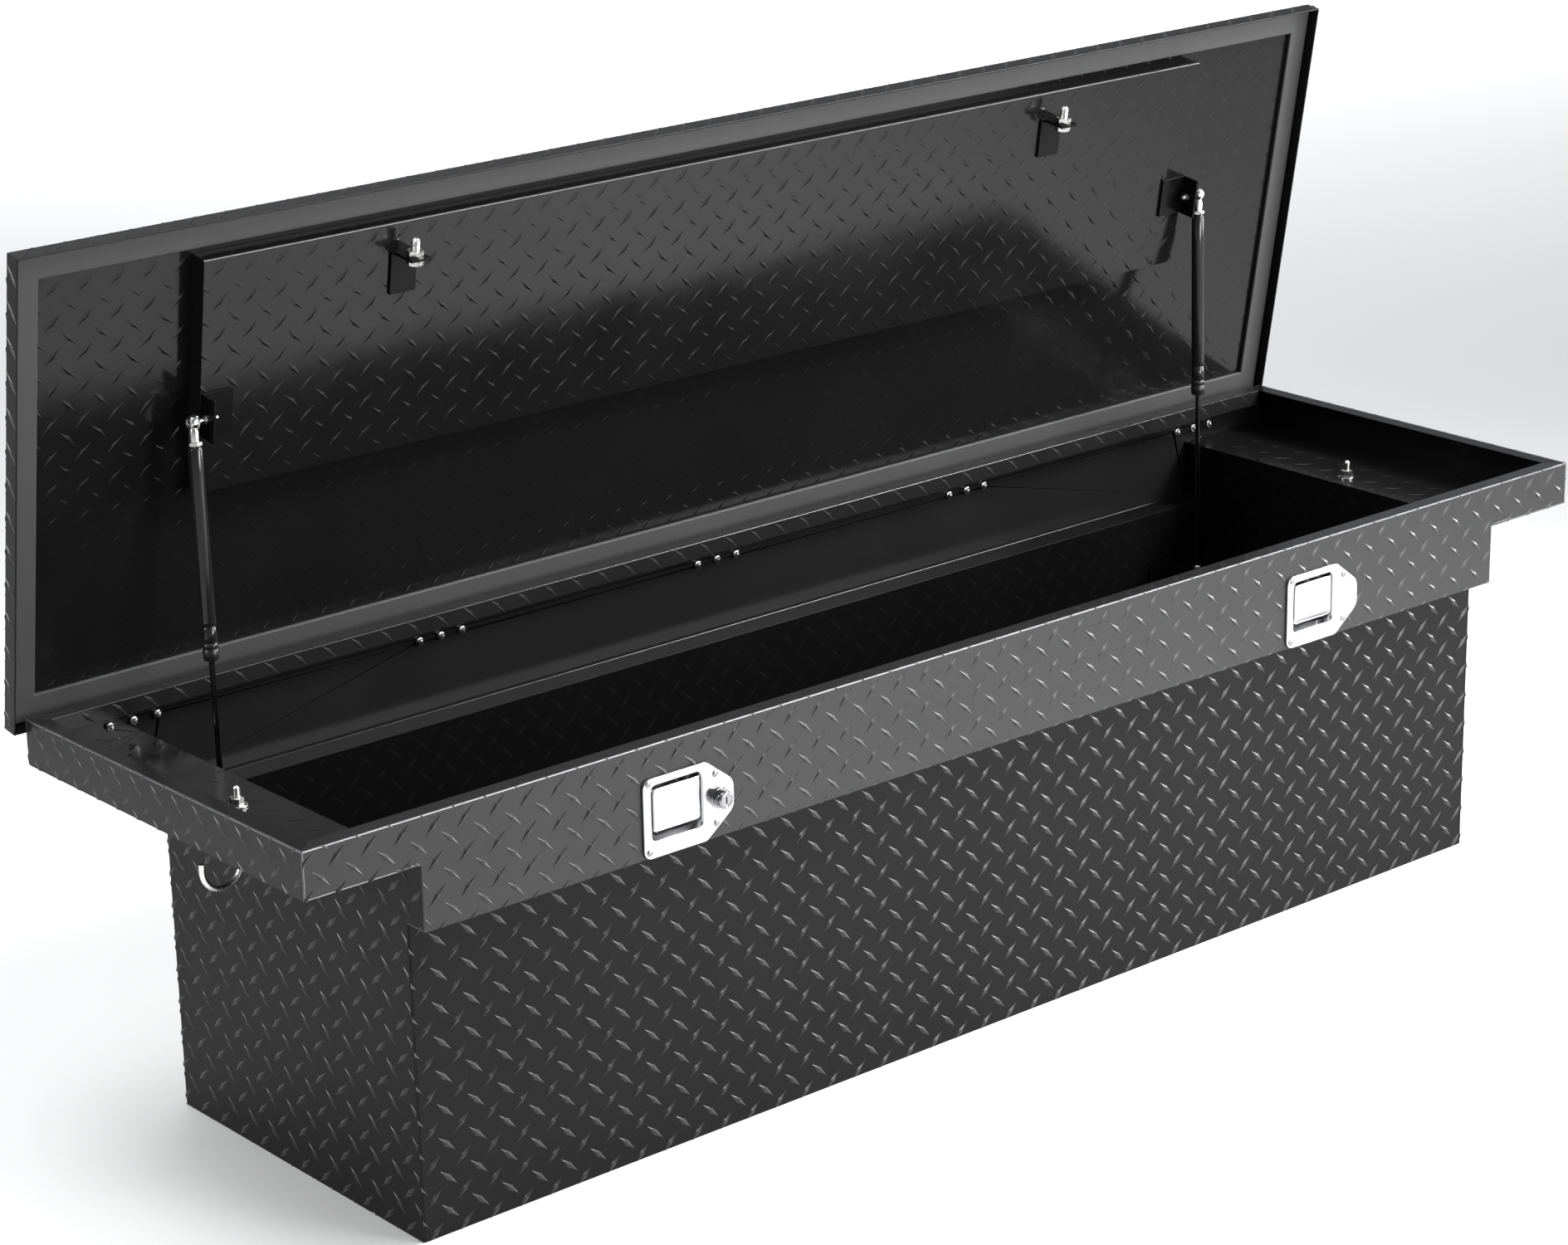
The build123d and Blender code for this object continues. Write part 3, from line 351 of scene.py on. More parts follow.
class Batch:
    """Vertices and faces of several shapes that become one piece."""

    def __init__(self):
        self.vertices = []
        self.faces = []

    def ring_surface(self, rings, close_start=True, close_end=True):
        """Join rings of equal length, each a list of points, into one tube."""
        base = len(self.vertices)
        count = len(rings[0])
        for ring in rings:
            self.vertices.extend(ring)
        for row in range(len(rings) - 1):
            for k in range(count):
                a = base + row * count + k
                b = base + row * count + (k + 1) % count
                self.faces.append((a, b, b + count, a + count))
        if close_start:
            self.faces.append(tuple(base + k for k in reversed(range(count))))
        if close_end:
            last = base + (len(rings) - 1) * count
            self.faces.append(tuple(last + k for k in range(count)))

    def lathe(self, origin, axis, profile, count=32, ring_shaped=False):
        """Turn a profile of (distance along the axis, radius) about the axis.

        A ring-shaped profile joins its last point to its first and leaves a hole.
        """
        origin = Vector(origin)
        axis = Vector(axis).normalized()
        across, up = axes_across(axis)
        rings = []
        for along, radius in profile:
            ring = []
            for k in range(count):
                turn = 2 * math.pi * k / count
                spoke = across * math.cos(turn) + up * math.sin(turn)
                ring.append(origin + axis * along + spoke * radius)
            rings.append(ring)
        if ring_shaped:
            rings.append(rings[0])
        self.ring_surface(rings, not ring_shaped, not ring_shaped)

    def thread(self, origin, axis, length, radius, pitch, depth, count=24):
        """A threaded rod with a chamfered far end."""
        origin = Vector(origin)
        axis = Vector(axis).normalized()
        across, up = axes_across(axis)
        steps = int(length / pitch * 6)
        rings = []
        for row in range(steps + 1):
            along = length * row / steps
            taper = min(1.0, (length - along) / (1.5 * pitch) * 0.5 + 0.5)
            ring = []
            for k in range(count):
                turn = 2 * math.pi * k / count
                phase = (along / pitch - k / count) % 1.0
                crest = 1.0 - abs(2.0 * phase - 1.0)
                spoke = across * math.cos(turn) + up * math.sin(turn)
                reach = (radius - depth + depth * crest) * taper
                ring.append(origin + axis * along + spoke * reach)
            rings.append(ring)
        self.ring_surface(rings)

    def nut(self, origin, axis, height, corner, bore, count=48):
        """A hexagon with chamfered corners and a bore."""
        origin = Vector(origin)
        axis = Vector(axis).normalized()
        across, up = axes_across(axis)
        flat = corner * math.cos(math.pi / 6)
        face = flat * 0.96
        rows = ((0, bore), (0, face), (1, None), (2, None), (3, face), (3, bore))
        rings = []
        for level, radius in rows:
            ring = []
            for k in range(count):
                turn = 2 * math.pi * k / count
                sector = (turn + math.pi / 6) % (math.pi / 3) - math.pi / 6
                rim = flat / math.cos(sector)
                drop = (rim - face) * math.tan(math.radians(30))
                along = (0, drop, height - drop, height)[level]
                reach = rim if radius is None else radius
                spoke = across * math.cos(turn) + up * math.sin(turn)
                ring.append(origin + axis * along + spoke * reach)
            rings.append(ring)
        rings.append(rings[0])
        self.ring_surface(rings, False, False)

    def tube(self, points, radius, count=10):
        """A wire of round section through points."""
        rings = []
        for k, point in enumerate(points):
            before = points[max(0, k - 1)]
            after = points[min(len(points) - 1, k + 1)]
            heading = (after - before).normalized()
            if k == 0:
                across, up = axes_across(heading)
            else:
                across = (across - heading * across.dot(heading)).normalized()
                up = heading.cross(across)
            ring = []
            for j in range(count):
                turn = 2 * math.pi * j / count
                ring.append(point + across * radius * math.cos(turn) + up * radius * math.sin(turn))
            rings.append(ring)
        self.ring_surface(rings)

    def build(self, name, material, body, smooth_angle=40):
        piece = make_object(name, self.vertices, self.faces, material, body)
        edit = bmesh.new()
        edit.from_mesh(piece.data)
        bmesh.ops.recalc_face_normals(edit, faces=edit.faces)
        for edge in edit.edges:
            if len(edge.link_faces) == 2:
                edge.smooth = edge.calc_face_angle() < math.radians(smooth_angle)
        edit.to_mesh(piece.data)
        edit.free()
        return piece


# ---------------------------------------------------------------- treads

TREAD_PITCH = 36.4 * MM
TREAD_ROW = 35.5 * MM
TREAD_LENGTH = 29.0 * MM
TREAD_WIDTH = 6.4 * MM
TREAD_TURN = math.radians(43)
OUTER_RELIEF = 1.05 * MM
INNER_RELIEF = 0.35 * MM
SUNK = 0.06 * MM
# Stations along half of a tread: place, half width and height, each from 0 to 1.
STATIONS = (
    (-1.0, 0.0, 0.0), (-0.62, 0.30, 0.46), (-0.22, 0.70, 0.86), (-0.06, 0.98, 1.0),
    (0.06, 0.98, 1.0), (0.22, 0.70, 0.86), (0.62, 0.30, 0.46), (1.0, 0.0, 0.0),
)
ACROSS = (-1.0, -0.12, 0.12, 1.0)
CROWN = (0.0, 1.0, 1.0, 0.0)


def lens_shape(relief):
    """One embossed tread lying along its first coordinate, as points and faces."""
    points = []
    for place, spread, rise in STATIONS:
        along = place * TREAD_LENGTH / 2
        if spread == 0:
            points.append((along, 0.0, -SUNK))
            continue
        for t, crown in zip(ACROSS, CROWN):
            across = t * spread * TREAD_WIDTH / 2
            points.append((along, across, relief * rise * crown - SUNK * (1.0 - crown)))
    faces = []
    width = len(ACROSS)
    inner_rows = len(STATIONS) - 2
    for row in range(inner_rows - 1):
        for k in range(width - 1):
            a = 1 + row * width + k
            faces.append((a, a + width, a + width + 1, a + 1))
    last = len(points) - 1
    for k in range(width - 1):
        faces.append((0, 1 + k, 2 + k))
        end = 1 + (inner_rows - 1) * width + k
        faces.append((last, end + 1, end))
    return points, faces


def inside_any(u, v, holes):
    return any(a < u < b and c < v < d for a, b, c, d in holes)


def tread_field(name, origin, u_dir, v_dir, normal, rects, body, relief, material, slot_name,
                phase=(0.0, 0.0), holes=()):
    """Treads on a flat face that looks along normal. Its own coordinates run from
    origin along u and v.

    rects are (u low, u high, v low, v high) of the sheet, which cut the treads at its
    edges, and holes are the rectangles that have none.
    """
    shape_points, shape_faces = lens_shape(relief)
    if u_dir.cross(v_dir).dot(normal) < 0:
        shape_faces = [tuple(reversed(face)) for face in shape_faces]
    vertices = []
    faces = []
    reach = TREAD_LENGTH / 2
    for u_low, u_high, v_low, v_high in rects:
        points = []
        polygons = []
        first_column = math.floor((u_low - phase[0]) / TREAD_PITCH) - 1
        last_column = math.ceil((u_high - phase[0]) / TREAD_PITCH) + 1
        first_row = math.floor((v_low - phase[1]) / TREAD_ROW) - 1
        last_row = math.ceil((v_high - phase[1]) / TREAD_ROW) + 1
        for column in range(first_column, last_column + 1):
            for row in range(first_row, last_row + 1):
                for shift, turn in ((0.0, TREAD_TURN), (0.5, -TREAD_TURN)):
                    u = phase[0] + (column + shift) * TREAD_PITCH
                    v = phase[1] + (row + shift) * TREAD_ROW
                    outside = not (u_low - reach < u < u_high + reach and v_low - reach < v < v_high + reach)
                    if outside or inside_any(u, v, holes):
                        continue
                    base = len(points)
                    cos_turn = math.cos(turn)
                    sin_turn = math.sin(turn)
                    for along, across, height in shape_points:
                        points.append((
                            u + along * cos_turn - across * sin_turn,
                            v + along * sin_turn + across * cos_turn,
                            height,
                        ))
                    polygons.extend(tuple(base + k for k in face) for face in shape_faces)
        sheet = bpy.data.meshes.new("treads")
        sheet.from_pydata(points, [], polygons)
        edit = bmesh.new()
        edit.from_mesh(sheet)
        for place, outward in (
            ((u_low, 0, 0), (-1, 0, 0)),
            ((u_high, 0, 0), (1, 0, 0)),
            ((0, v_low, 0), (0, -1, 0)),
            ((0, v_high, 0), (0, 1, 0)),
        ):
            everything = edit.verts[:] + edit.edges[:] + edit.faces[:]
            bmesh.ops.bisect_plane(edit, geom=everything, plane_co=place, plane_no=outward, clear_outer=True)
        edit.to_mesh(sheet)
        edit.free()
        base = len(vertices)
        for vertex in sheet.vertices:
            u, v, height = vertex.co
            vertices.append(origin + u_dir * u + v_dir * v + normal * height)
        faces.extend(tuple(base + k for k in polygon.vertices) for polygon in sheet.polygons)
        bpy.data.meshes.remove(sheet)
    smooth = relief < OUTER_RELIEF
    return make_object(name, vertices, faces, material, body, smooth)


# Latch plate, from the middle of its window and down from the rim.
LATCH_X = abs(JOINTS["paddle_pull_left"]["pos_m"][0])
PLATE = (-43.0 * MM, 37.0 * MM, 33.0 * MM, 118.0 * MM)
PLATE_NOSE = (36.0 * MM, 66.0 * MM, 58.0 * MM, 93.0 * MM)


def latch_windows(corner):
    """Rectangles of both latches in coordinates that start at x = corner, z = rim."""
    found = []
    for _, side in SIDES:
        for a, b, c, d in (PLATE, PLATE_NOSE):
            centre = side * LATCH_X - corner
            found.append((centre + a, centre + b, c, d))
    return found


def outer_treads():
    wing_drop = HEIGHT - WING_UNDER
    skirt_drop = HEIGHT - LEDGE
    overhang = HALF - HALF_TUB
    skirt_rects = (
        (0, overhang, 0, wing_drop),
        (overhang, 2 * HALF - overhang, 0, skirt_drop),
        (2 * HALF - overhang, 2 * HALF, 0, wing_drop),
    )
    tub_rect = ((0, 2 * HALF_TUB, 0, LEDGE),)
    plate = ("box", OUTER_RELIEF, OUTER_TREAD, "tread_plate")
    tread_field("treads_front_skirt", Vector((-HALF, FRONT, HEIGHT)), X, -Z, -Y, skirt_rects, *plate,
                phase=(19.1 * MM, 30.9 * MM), holes=latch_windows(-HALF))
    tread_field("treads_tub_front", Vector((-HALF_TUB, TUB_FRONT, LEDGE)), X, -Z, -Y, tub_rect, *plate,
                phase=(33.0 * MM, 25.0 * MM))
    tread_field("treads_rear_skirt", Vector((HALF, REAR, HEIGHT)), -X, -Z, Y, skirt_rects, *plate,
                phase=(11.0 * MM, 24.0 * MM))
    tread_field("treads_tub_rear", Vector((HALF_TUB, TUB_REAR, LEDGE)), -X, -Z, Y, tub_rect, *plate,
                phase=(27.0 * MM, 17.0 * MM))
    setback = TUB_FRONT - FRONT - SHEET
    rear_setback = REAR - TUB_REAR - SHEET
    band = WING_UNDER - LEDGE - SHEET
    wing_depth = REAR - FRONT - 2 * SHEET
    for name, side in SIDES:
        end_x = side * HALF_TUB
        far_y = TUB_REAR if side < 0 else TUB_FRONT
        run = -Y if side < 0 else Y
        near, far = (rear_setback, setback) if side < 0 else (setback, rear_setback)
        end_rects = (
            (0, TUB_DEPTH, 0, WING_UNDER),
            (-near, 0, 0, band),
            (TUB_DEPTH, TUB_DEPTH + far, 0, band),
        )
        tread_field(f"treads_tub_end_{name}", Vector((end_x, far_y, WING_UNDER)), run, -Z, X * side,
                    end_rects, *plate, phase=(19.6 * MM, 17.0 * MM))
        start_y = REAR - SHEET if side < 0 else FRONT + SHEET
        tread_field(f"treads_wing_end_{name}", Vector((side * HALF, start_y, HEIGHT)), run, -Z, X * side,
                    ((0, wing_depth, 0, wing_drop),), *plate, phase=(21.0 * MM, 15.0 * MM))


def rim_treads():
    """Treads cut by the narrow rim flanges and by the lips under them."""
    flat = ("box", INNER_RELIEF * 0.8, OUTER_TREAD, "tread_plate")
    length = 2 * HALF
    tread_field("treads_front_rim", Vector((-HALF, FRONT, HEIGHT)), X, Y, Z,
                ((RIM_FLANGE, length - RIM_FLANGE, 1 * MM, RIM_FLANGE - 1 * MM),), *flat, phase=(9 * MM, 9 * MM))
    tread_field("treads_rear_rim", Vector((-HALF, REAR - RIM_FLANGE, HEIGHT)), X, Y, Z,
                ((RIM_FLANGE, length - RIM_FLANGE, 1 * MM, RIM_FLANGE - 1 * MM),), *flat, phase=(5 * MM, 3 * MM))
    lip_top = HEIGHT - SHEET
    tread_field("treads_rear_lip", Vector((-HALF + RIM_FLANGE, REAR - RIM_FLANGE, lip_top)), X, -Z, -Y,
                ((0, length - 2 * RIM_FLANGE, 0, RIM_LIP),), "box", INNER_RELIEF * 1.6, OUTER_TREAD,
                "tread_plate", phase=(5 * MM, 7 * MM))


def inner_treads():
    """The shallower back of the embossing, inside the tub and the wing trays."""
    look = ("box", INNER_RELIEF, INNER_TREAD, "tread_plate")
    inside = HALF_TUB - SHEET
    depth = TUB_DEPTH - 2 * SHEET
    tread_field("treads_tub_floor", Vector((-inside, TUB_FRONT + SHEET, SHEET)), X, Y, Z,
                ((0, 2 * inside, 0, depth),), *look, phase=(12 * MM, 8 * MM))
    tread_field("treads_tub_rear_inside", Vector((-inside, TUB_REAR - SHEET, LEDGE)), X, -Z, -Y,
                ((0, 2 * inside, 0, LEDGE - SHEET),), *look, phase=(27 * MM, 17 * MM))
    tread_field("treads_tub_front_inside", Vector((inside, TUB_FRONT + SHEET, LEDGE)), -X, -Z, Y,
                ((0, 2 * inside, 0, LEDGE - SHEET),), *look, phase=(33 * MM, 25 * MM))
    tray_depth = REAR - FRONT - 2 * SHEET
    for name, side in SIDES:
        low_x = min(side * inside, side * (HALF - SHEET))
        tread_field(f"treads_wing_floor_{name}", Vector((low_x, FRONT + SHEET, WING_UNDER + SHEET)), X, Y, Z,
                    ((0, HALF - HALF_TUB, 0, tray_depth),), *look, phase=(14 * MM, 12 * MM))
        run = Y if side < 0 else -Y
        start = TUB_FRONT + SHEET if side < 0 else TUB_REAR - SHEET
        tread_field(f"treads_end_inside_{name}", Vector((side * inside, start, WING_UNDER)), run, -Z, X * -side,
                    ((0, depth, 0, WING_UNDER - SHEET),), *look, phase=(20 * MM, 15 * MM))


def lid_treads():
    outer = ("lid", OUTER_RELIEF, OUTER_TREAD, "tread_plate")
    inner = ("lid", INNER_RELIEF, INNER_TREAD, "lid_liner")
    depth = LID_REAR - LID_FRONT
    length = 2 * LID_HALF
    side_drop = LID_OUTER - LID_EDGE
    tread_field("treads_lid_top", lid_point(-LID_HALF, LID_FRONT, LID_OUTER), X, LID_BACK, LID_OUT,
                ((0, length, 0, depth),), *outer, phase=(15 * MM, 12 * MM))
    tread_field("treads_lid_front_edge", lid_point(-LID_HALF, LID_FRONT, LID_EDGE), X, LID_OUT, -LID_BACK,
                ((0, length, 0, side_drop),), *outer, phase=(15 * MM, 9 * MM))
    for name, side in SIDES:
        run = -LID_BACK if side < 0 else LID_BACK
        start = LID_REAR if side < 0 else LID_FRONT
        tread_field(f"treads_lid_end_{name}", lid_point(side * LID_HALF, start, LID_EDGE), run, LID_OUT, X * side,
                    ((0, depth, 0, side_drop),), *outer, phase=(12 * MM, 9 * MM))
    # Skin round the stiffener, in coordinates that start at the right front corner.
    right = LID_HALF - GASKET_IN
    front = LID_FRONT + GASKET_IN
    rear = 2 * MM - 28 * MM
    side_band = right - STIFF_HALF
    stiff_low = STIFF_FRONT - front
    stiff_high = STIFF_REAR - front
    skin_rects = (
        (0, side_band, 0, rear - front),
        (2 * right - side_band, 2 * right, 0, rear - front),
        (side_band, 2 * right - side_band, 0, stiff_low),
        (side_band, 2 * right - side_band, stiff_high, rear - front),
    )
    tread_field("treads_lid_inside", lid_point(right, front, LID_INNER), -X, LID_BACK, -LID_OUT,
                skin_rects, *inner, phase=(9 * MM, 14 * MM))
    tread_field("treads_stiffener", lid_point(STIFF_HALF, STIFF_FRONT, STIFF_FACE), -X, LID_BACK, -LID_OUT,
                ((0, 2 * STIFF_HALF, 0, STIFF_REAR - STIFF_FRONT),), *inner, phase=(22 * MM, 11 * MM))


outer_treads()
rim_treads()
inner_treads()
lid_treads()

# ---------------------------------------------------------------- hardware


def striker_hardware():
    tab = -432.0 * MM
    tip = -451.0 * MM
    bolt_w = -27.3 * MM
    bolts = Batch()
    nuts = Batch()
    for _, side in SIDES:
        x = side * LATCH_X
        head = lid_point(x, tab + 3 * MM, bolt_w)
        bolts.thread(head, -LID_BACK, 3 * MM + tab - tip, 4.75 * MM, 1.5 * MM, 0.5 * MM)
        bolts.nut(head, LID_BACK, 6.5 * MM, 9.0 * MM, 0.5 * MM)
        nuts.nut(lid_point(x, tab - 6 * MM, bolt_w), LID_BACK, 6 * MM, 9.0 * MM, 4.7 * MM)
    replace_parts(bolts.build("striker_bolts_threaded", ZINC, "lid"), "striker_bolts")
    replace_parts(nuts.build("striker_nuts_chamfered", ZINC, "lid"), "striker_nuts")


def j_bolt_hardware():
    nuts = Batch()
    threads = Batch()
    floor = WING_UNDER + SHEET
    for x, y in j_bolt_columns():
        nuts.nut((x, y, floor + 2 * MM), Z, 8 * MM, 7.4 * MM, 3.25 * MM)
        foot = (x, y, WING_UNDER - 30 * MM)
        threads.thread(foot, Z, 51.5 * MM + SHEET, 3.5 * MM, 1.25 * MM, 0.28 * MM)
    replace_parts(nuts.build("j_bolt_nuts_chamfered", ZINC, "box"), "j_bolt_nuts")
    threads.build("j_bolt_threads", ZINC, "box")


def j_bolt_columns():
    """The x and y of each J-bolt's rod: the middle of its nut."""
    low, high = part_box("j_bolt_nuts")
    y = (low.y + high.y) / 2
    reach = 7.4 * MM * math.cos(math.pi / 6)
    found = []
    for node_x in (low.x, high.x):
        found.append((node_x + math.copysign(reach, -node_x), y))
    return found


def dome(batch, place, axis, radius, height):
    """A rivet or bolt head: part of a ball."""
    profile = []
    for k in range(7):
        turn = math.pi / 2 * k / 6
        profile.append((height * math.sin(turn), max(radius * math.cos(turn), 0.02 * MM)))
    batch.lathe(place, axis, profile, 24)


def latch_rivets():
    offsets = ((-35.5, -38.5), (-35.5, -110.0), (48.5, -49.0), (49.0, -101.0))
    face = FRONT - 2.5 * MM
    for name, side in SIDES:
        rivets = Batch()
        for x, z in offsets:
            place = (side * LATCH_X + x * MM, face, HEIGHT + z * MM)
            dome(rivets, place, -Y, 3.5 * MM, 1.5 * MM)
            back = (place[0], FRONT + SHEET + 1.5 * MM, place[2])
            dome(rivets, back, Y, 3.0 * MM, 1.4 * MM)
        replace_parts(rivets.build(f"latch_rivet_domes_{name}", RIVET_STEEL, "box"),
                    f"latch_rivets_{name}")


def rounded_outline(corners, radii, steps=10):
    """A polygon with each corner rounded, as a dense list of 2-D points."""
    outline = []
    count = len(corners)
    for k, radius in enumerate(radii):
        corner = Vector(corners[k])
        before = (Vector(corners[k - 1]) - corner).normalized()
        after = (Vector(corners[(k + 1) % count]) - corner).normalized()
        half_angle = before.angle(after) / 2
        reach = radius / math.tan(half_angle)
        centre = corner + (before + after).normalized() * (radius / math.sin(half_angle))
        start = corner + before * reach - centre
        end = corner + after * reach - centre
        for step in range(steps + 1):
            spoke = start.lerp(end, step / steps).normalized() * radius
            outline.append(centre + spoke)
    return outline


def spokes(outline, middle, count):
    """Distance from middle to the outline in count directions."""
    found = []
    for k in range(count):
        turn = 2 * math.pi * (k + 0.5) / count
        heading = Vector((math.cos(turn), math.sin(turn)))
        best = 0.0
        for a, b in zip(outline, outline[1:] + outline[:1]):
            side_a = heading.x * (a.y - middle.y) - heading.y * (a.x - middle.x)
            side_b = heading.x * (b.y - middle.y) - heading.y * (b.x - middle.x)
            if side_a * side_b > 0 or side_a == side_b:
                continue
            hit = a + (b - a) * (side_a / (side_a - side_b))
            best = max(best, (hit - middle).dot(heading))
        found.append(best)
    return found


LATCH_SPOKES = 200
PLATE_CORNERS = ((-42, -34), (37, -34), (72, -61), (72, -90), (37, -117), (-42, -117))
PLATE_RADII = (9, 8, 14, 14, 8, 9)
WINDOW_CORNERS = ((-31, -42.5), (31, -42.5), (31, -99.5), (-31, -99.5))
PAN_CORNERS = ((-30.5, -43), (30.5, -43), (30.5, -90), (-30.5, -90))
PADDLE_CORNERS = ((-29.5, -46), (29.5, -46), (29.5, -91), (-29.5, -91))
WINDOW_MIDDLE = Vector((0, -71))
PADDLE_MIDDLE = Vector((0, -68.5))


def latch_rings(centre, middle, steps):
    """Rings in the latch's plane. Each step is (spokes, inset, distance behind the skirt's face)."""
    rings = []
    for lengths, inset, behind in steps:
        ring = []
        for k, length in enumerate(lengths):
            turn = 2 * math.pi * (k + 0.5) / len(lengths)
            reach = length - inset
            ring.append(Vector((
                centre + (middle.x + reach * math.cos(turn)) * MM,
                FRONT + behind * MM,
                HEIGHT + (middle.y + reach * math.sin(turn)) * MM,
            )))
        rings.append(ring)
    return rings


def apply_modifiers(piece):
    """Replace a piece's mesh by what its modifiers make of it."""
    graph = bpy.context.evaluated_depsgraph_get()
    mesh = bpy.data.meshes.new_from_object(piece.evaluated_get(graph))
    piece.modifiers.clear()
    piece.data = mesh


def cut_box(piece, low, high):
    """Cut a box out of a piece."""
    corners = [(x, y, z) for x in (low[0], high[0]) for y in (low[1], high[1]) for z in (low[2], high[2])]
    faces = [(0, 1, 3, 2), (4, 6, 7, 5), (0, 4, 5, 1), (2, 3, 7, 6), (0, 2, 6, 4), (1, 5, 7, 3)]
    mesh = bpy.data.meshes.new("cutter")
    mesh.from_pydata(corners, [], faces)
    cutter = bpy.data.objects.new("cutter", mesh)
    bpy.context.scene.collection.objects.link(cutter)
    boolean = piece.modifiers.new("cut", "BOOLEAN")
    boolean.object = cutter
    boolean.solver = "EXACT"
    apply_modifiers(piece)
    bpy.data.objects.remove(cutter)


def latch_plates():
    """Pressed stainless dish: flat plate, rolled window edge and pan, with the tail's slot."""
    window = spokes(rounded_outline(WINDOW_CORNERS, (5.5,) * 4), WINDOW_MIDDLE, LATCH_SPOKES)
    pan = spokes(rounded_outline(PAN_CORNERS, (6.0,) * 4), WINDOW_MIDDLE, LATCH_SPOKES)
    plate = spokes(rounded_outline(PLATE_CORNERS, PLATE_RADII), WINDOW_MIDDLE, LATCH_SPOKES)
    for name, side in SIDES:
        centre = side * LATCH_X
        dish = Batch()
        dish.ring_surface(latch_rings(centre, WINDOW_MIDDLE, (
            (pan, 12.0, 18.0), (pan, 4.5, 17.8), (pan, 2.2, 17.0), (pan, 0.9, 15.0), (pan, 0.3, 12.0),
            (window, 0.0, -0.2), (window, -0.4, -1.4), (window, -1.2, -2.2), (window, -2.2, -2.5),
            (window, -3.2, -2.5), (plate, 1.2, -2.5), (plate, 0.7, -2.5), (plate, 0.25, -2.4),
            (plate, 0.0, -2.0), (plate, 0.1, -1.2), (window, -3.2, -1.2), (window, -1.8, -0.8),
            (window, -1.1, 0.2), (pan, -0.7, 12.0), (pan, -0.1, 15.6), (pan, 1.4, 18.2),
            (pan, 4.0, 19.0), (pan, 12.0, 19.2),
        )))
        piece = dish.build(f"latch_dish_{name}", STAINLESS, "box", 50)
        cut_box(piece,
                (centre + 24.5 * MM, FRONT + 14 * MM, HEIGHT - 68 * MM),
                (centre + 30.4 * MM, FRONT + 22 * MM, HEIGHT - 50 * MM))
        if side < 0:
            cut_box(piece,
                    (centre + 46 * MM, FRONT - 4 * MM, HEIGHT - 82 * MM),
                    (centre + 60 * MM, FRONT + 0.4 * MM, HEIGHT - 68 * MM))
        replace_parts(piece, f"latch_escutcheon_{name}")


def latch_paddles():
    """Pull plate with a rolled edge and a shallow panel, its finger lip, ears and tail."""
    outline = spokes(rounded_outline(PADDLE_CORNERS, (4.0,) * 4), PADDLE_MIDDLE, LATCH_SPOKES)
    for name, side in SIDES:
        centre = side * LATCH_X
        paddle = Batch()
        paddle.ring_surface(latch_rings(centre, PADDLE_MIDDLE, (
            (outline, 1.2, 1.6), (outline, 0.1, 1.6), (outline, 0.0, -0.8), (outline, 0.35, -1.6),
            (outline, 1.0, -2.0), (outline, 2.6, -2.0), (outline, 3.4, -1.75), (outline, 4.2, -1.6),
            (outline, 12.0, -1.6),
        )), close_start=False)
        back = ((outline, 1.2, 1.6), (outline, 1.4, -0.4), (outline, 12.0, -0.4))
        paddle.ring_surface(latch_rings(centre, PADDLE_MIDDLE, back), close_start=False)
        for x_low, x_high, profile in (
            (26.0, 29.2, ((-0.4, -46.5), (4.5, -46.5), (8.0, -52.5), (32.0, -52.5),
                          (32.0, -58.5), (6.0, -58.5), (-0.4, -55.5))),
            (-29.2, -27.5, ((-0.4, -46.5), (4.5, -46.5), (4.5, -52.0), (-0.4, -52.0))),
            (-27.0, 27.0, ((-0.4, -89.3), (5.0, -89.3), (5.0, -90.8), (-0.4, -90.8))),
        ):
            rings = []
            for x in (x_low, x_high):
                rings.append([Vector((centre + x * MM, FRONT + y * MM, HEIGHT + z * MM)) for y, z in profile])
            paddle.ring_surface(rings)
        piece = paddle.build(f"latch_pull_{name}", STAINLESS, f"paddle_{name}", 50)
        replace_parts(piece, f"latch_paddle_{name}")


def lock_barrel():
    """Key cylinder's housing: bezel, stepped barrel and chamfered mouth."""
    place = Vector(JOINTS["key_turn"]["pos_m"])
    face = Vector((place.x, FRONT, place.z))
    barrel = Batch()
    barrel.lathe(face, -Y, (
        (-20.0 * MM, 6.1 * MM), (-20.0 * MM, 8.6 * MM), (-19.4 * MM, 9.0 * MM), (2.5 * MM, 9.0 * MM),
        (2.5 * MM, 11.0 * MM), (3.7 * MM, 10.9 * MM), (4.4 * MM, 10.2 * MM), (4.5 * MM, 9.1 * MM),
        (12.6 * MM, 9.0 * MM), (13.9 * MM, 8.2 * MM), (14.5 * MM, 7.2 * MM), (14.5 * MM, 6.4 * MM),
        (14.2 * MM, 6.1 * MM), (10.0 * MM, 6.1 * MM),
    ), 48)
    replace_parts(barrel.build("lock_barrel", CHROME, "box", 35), "lock_housing")


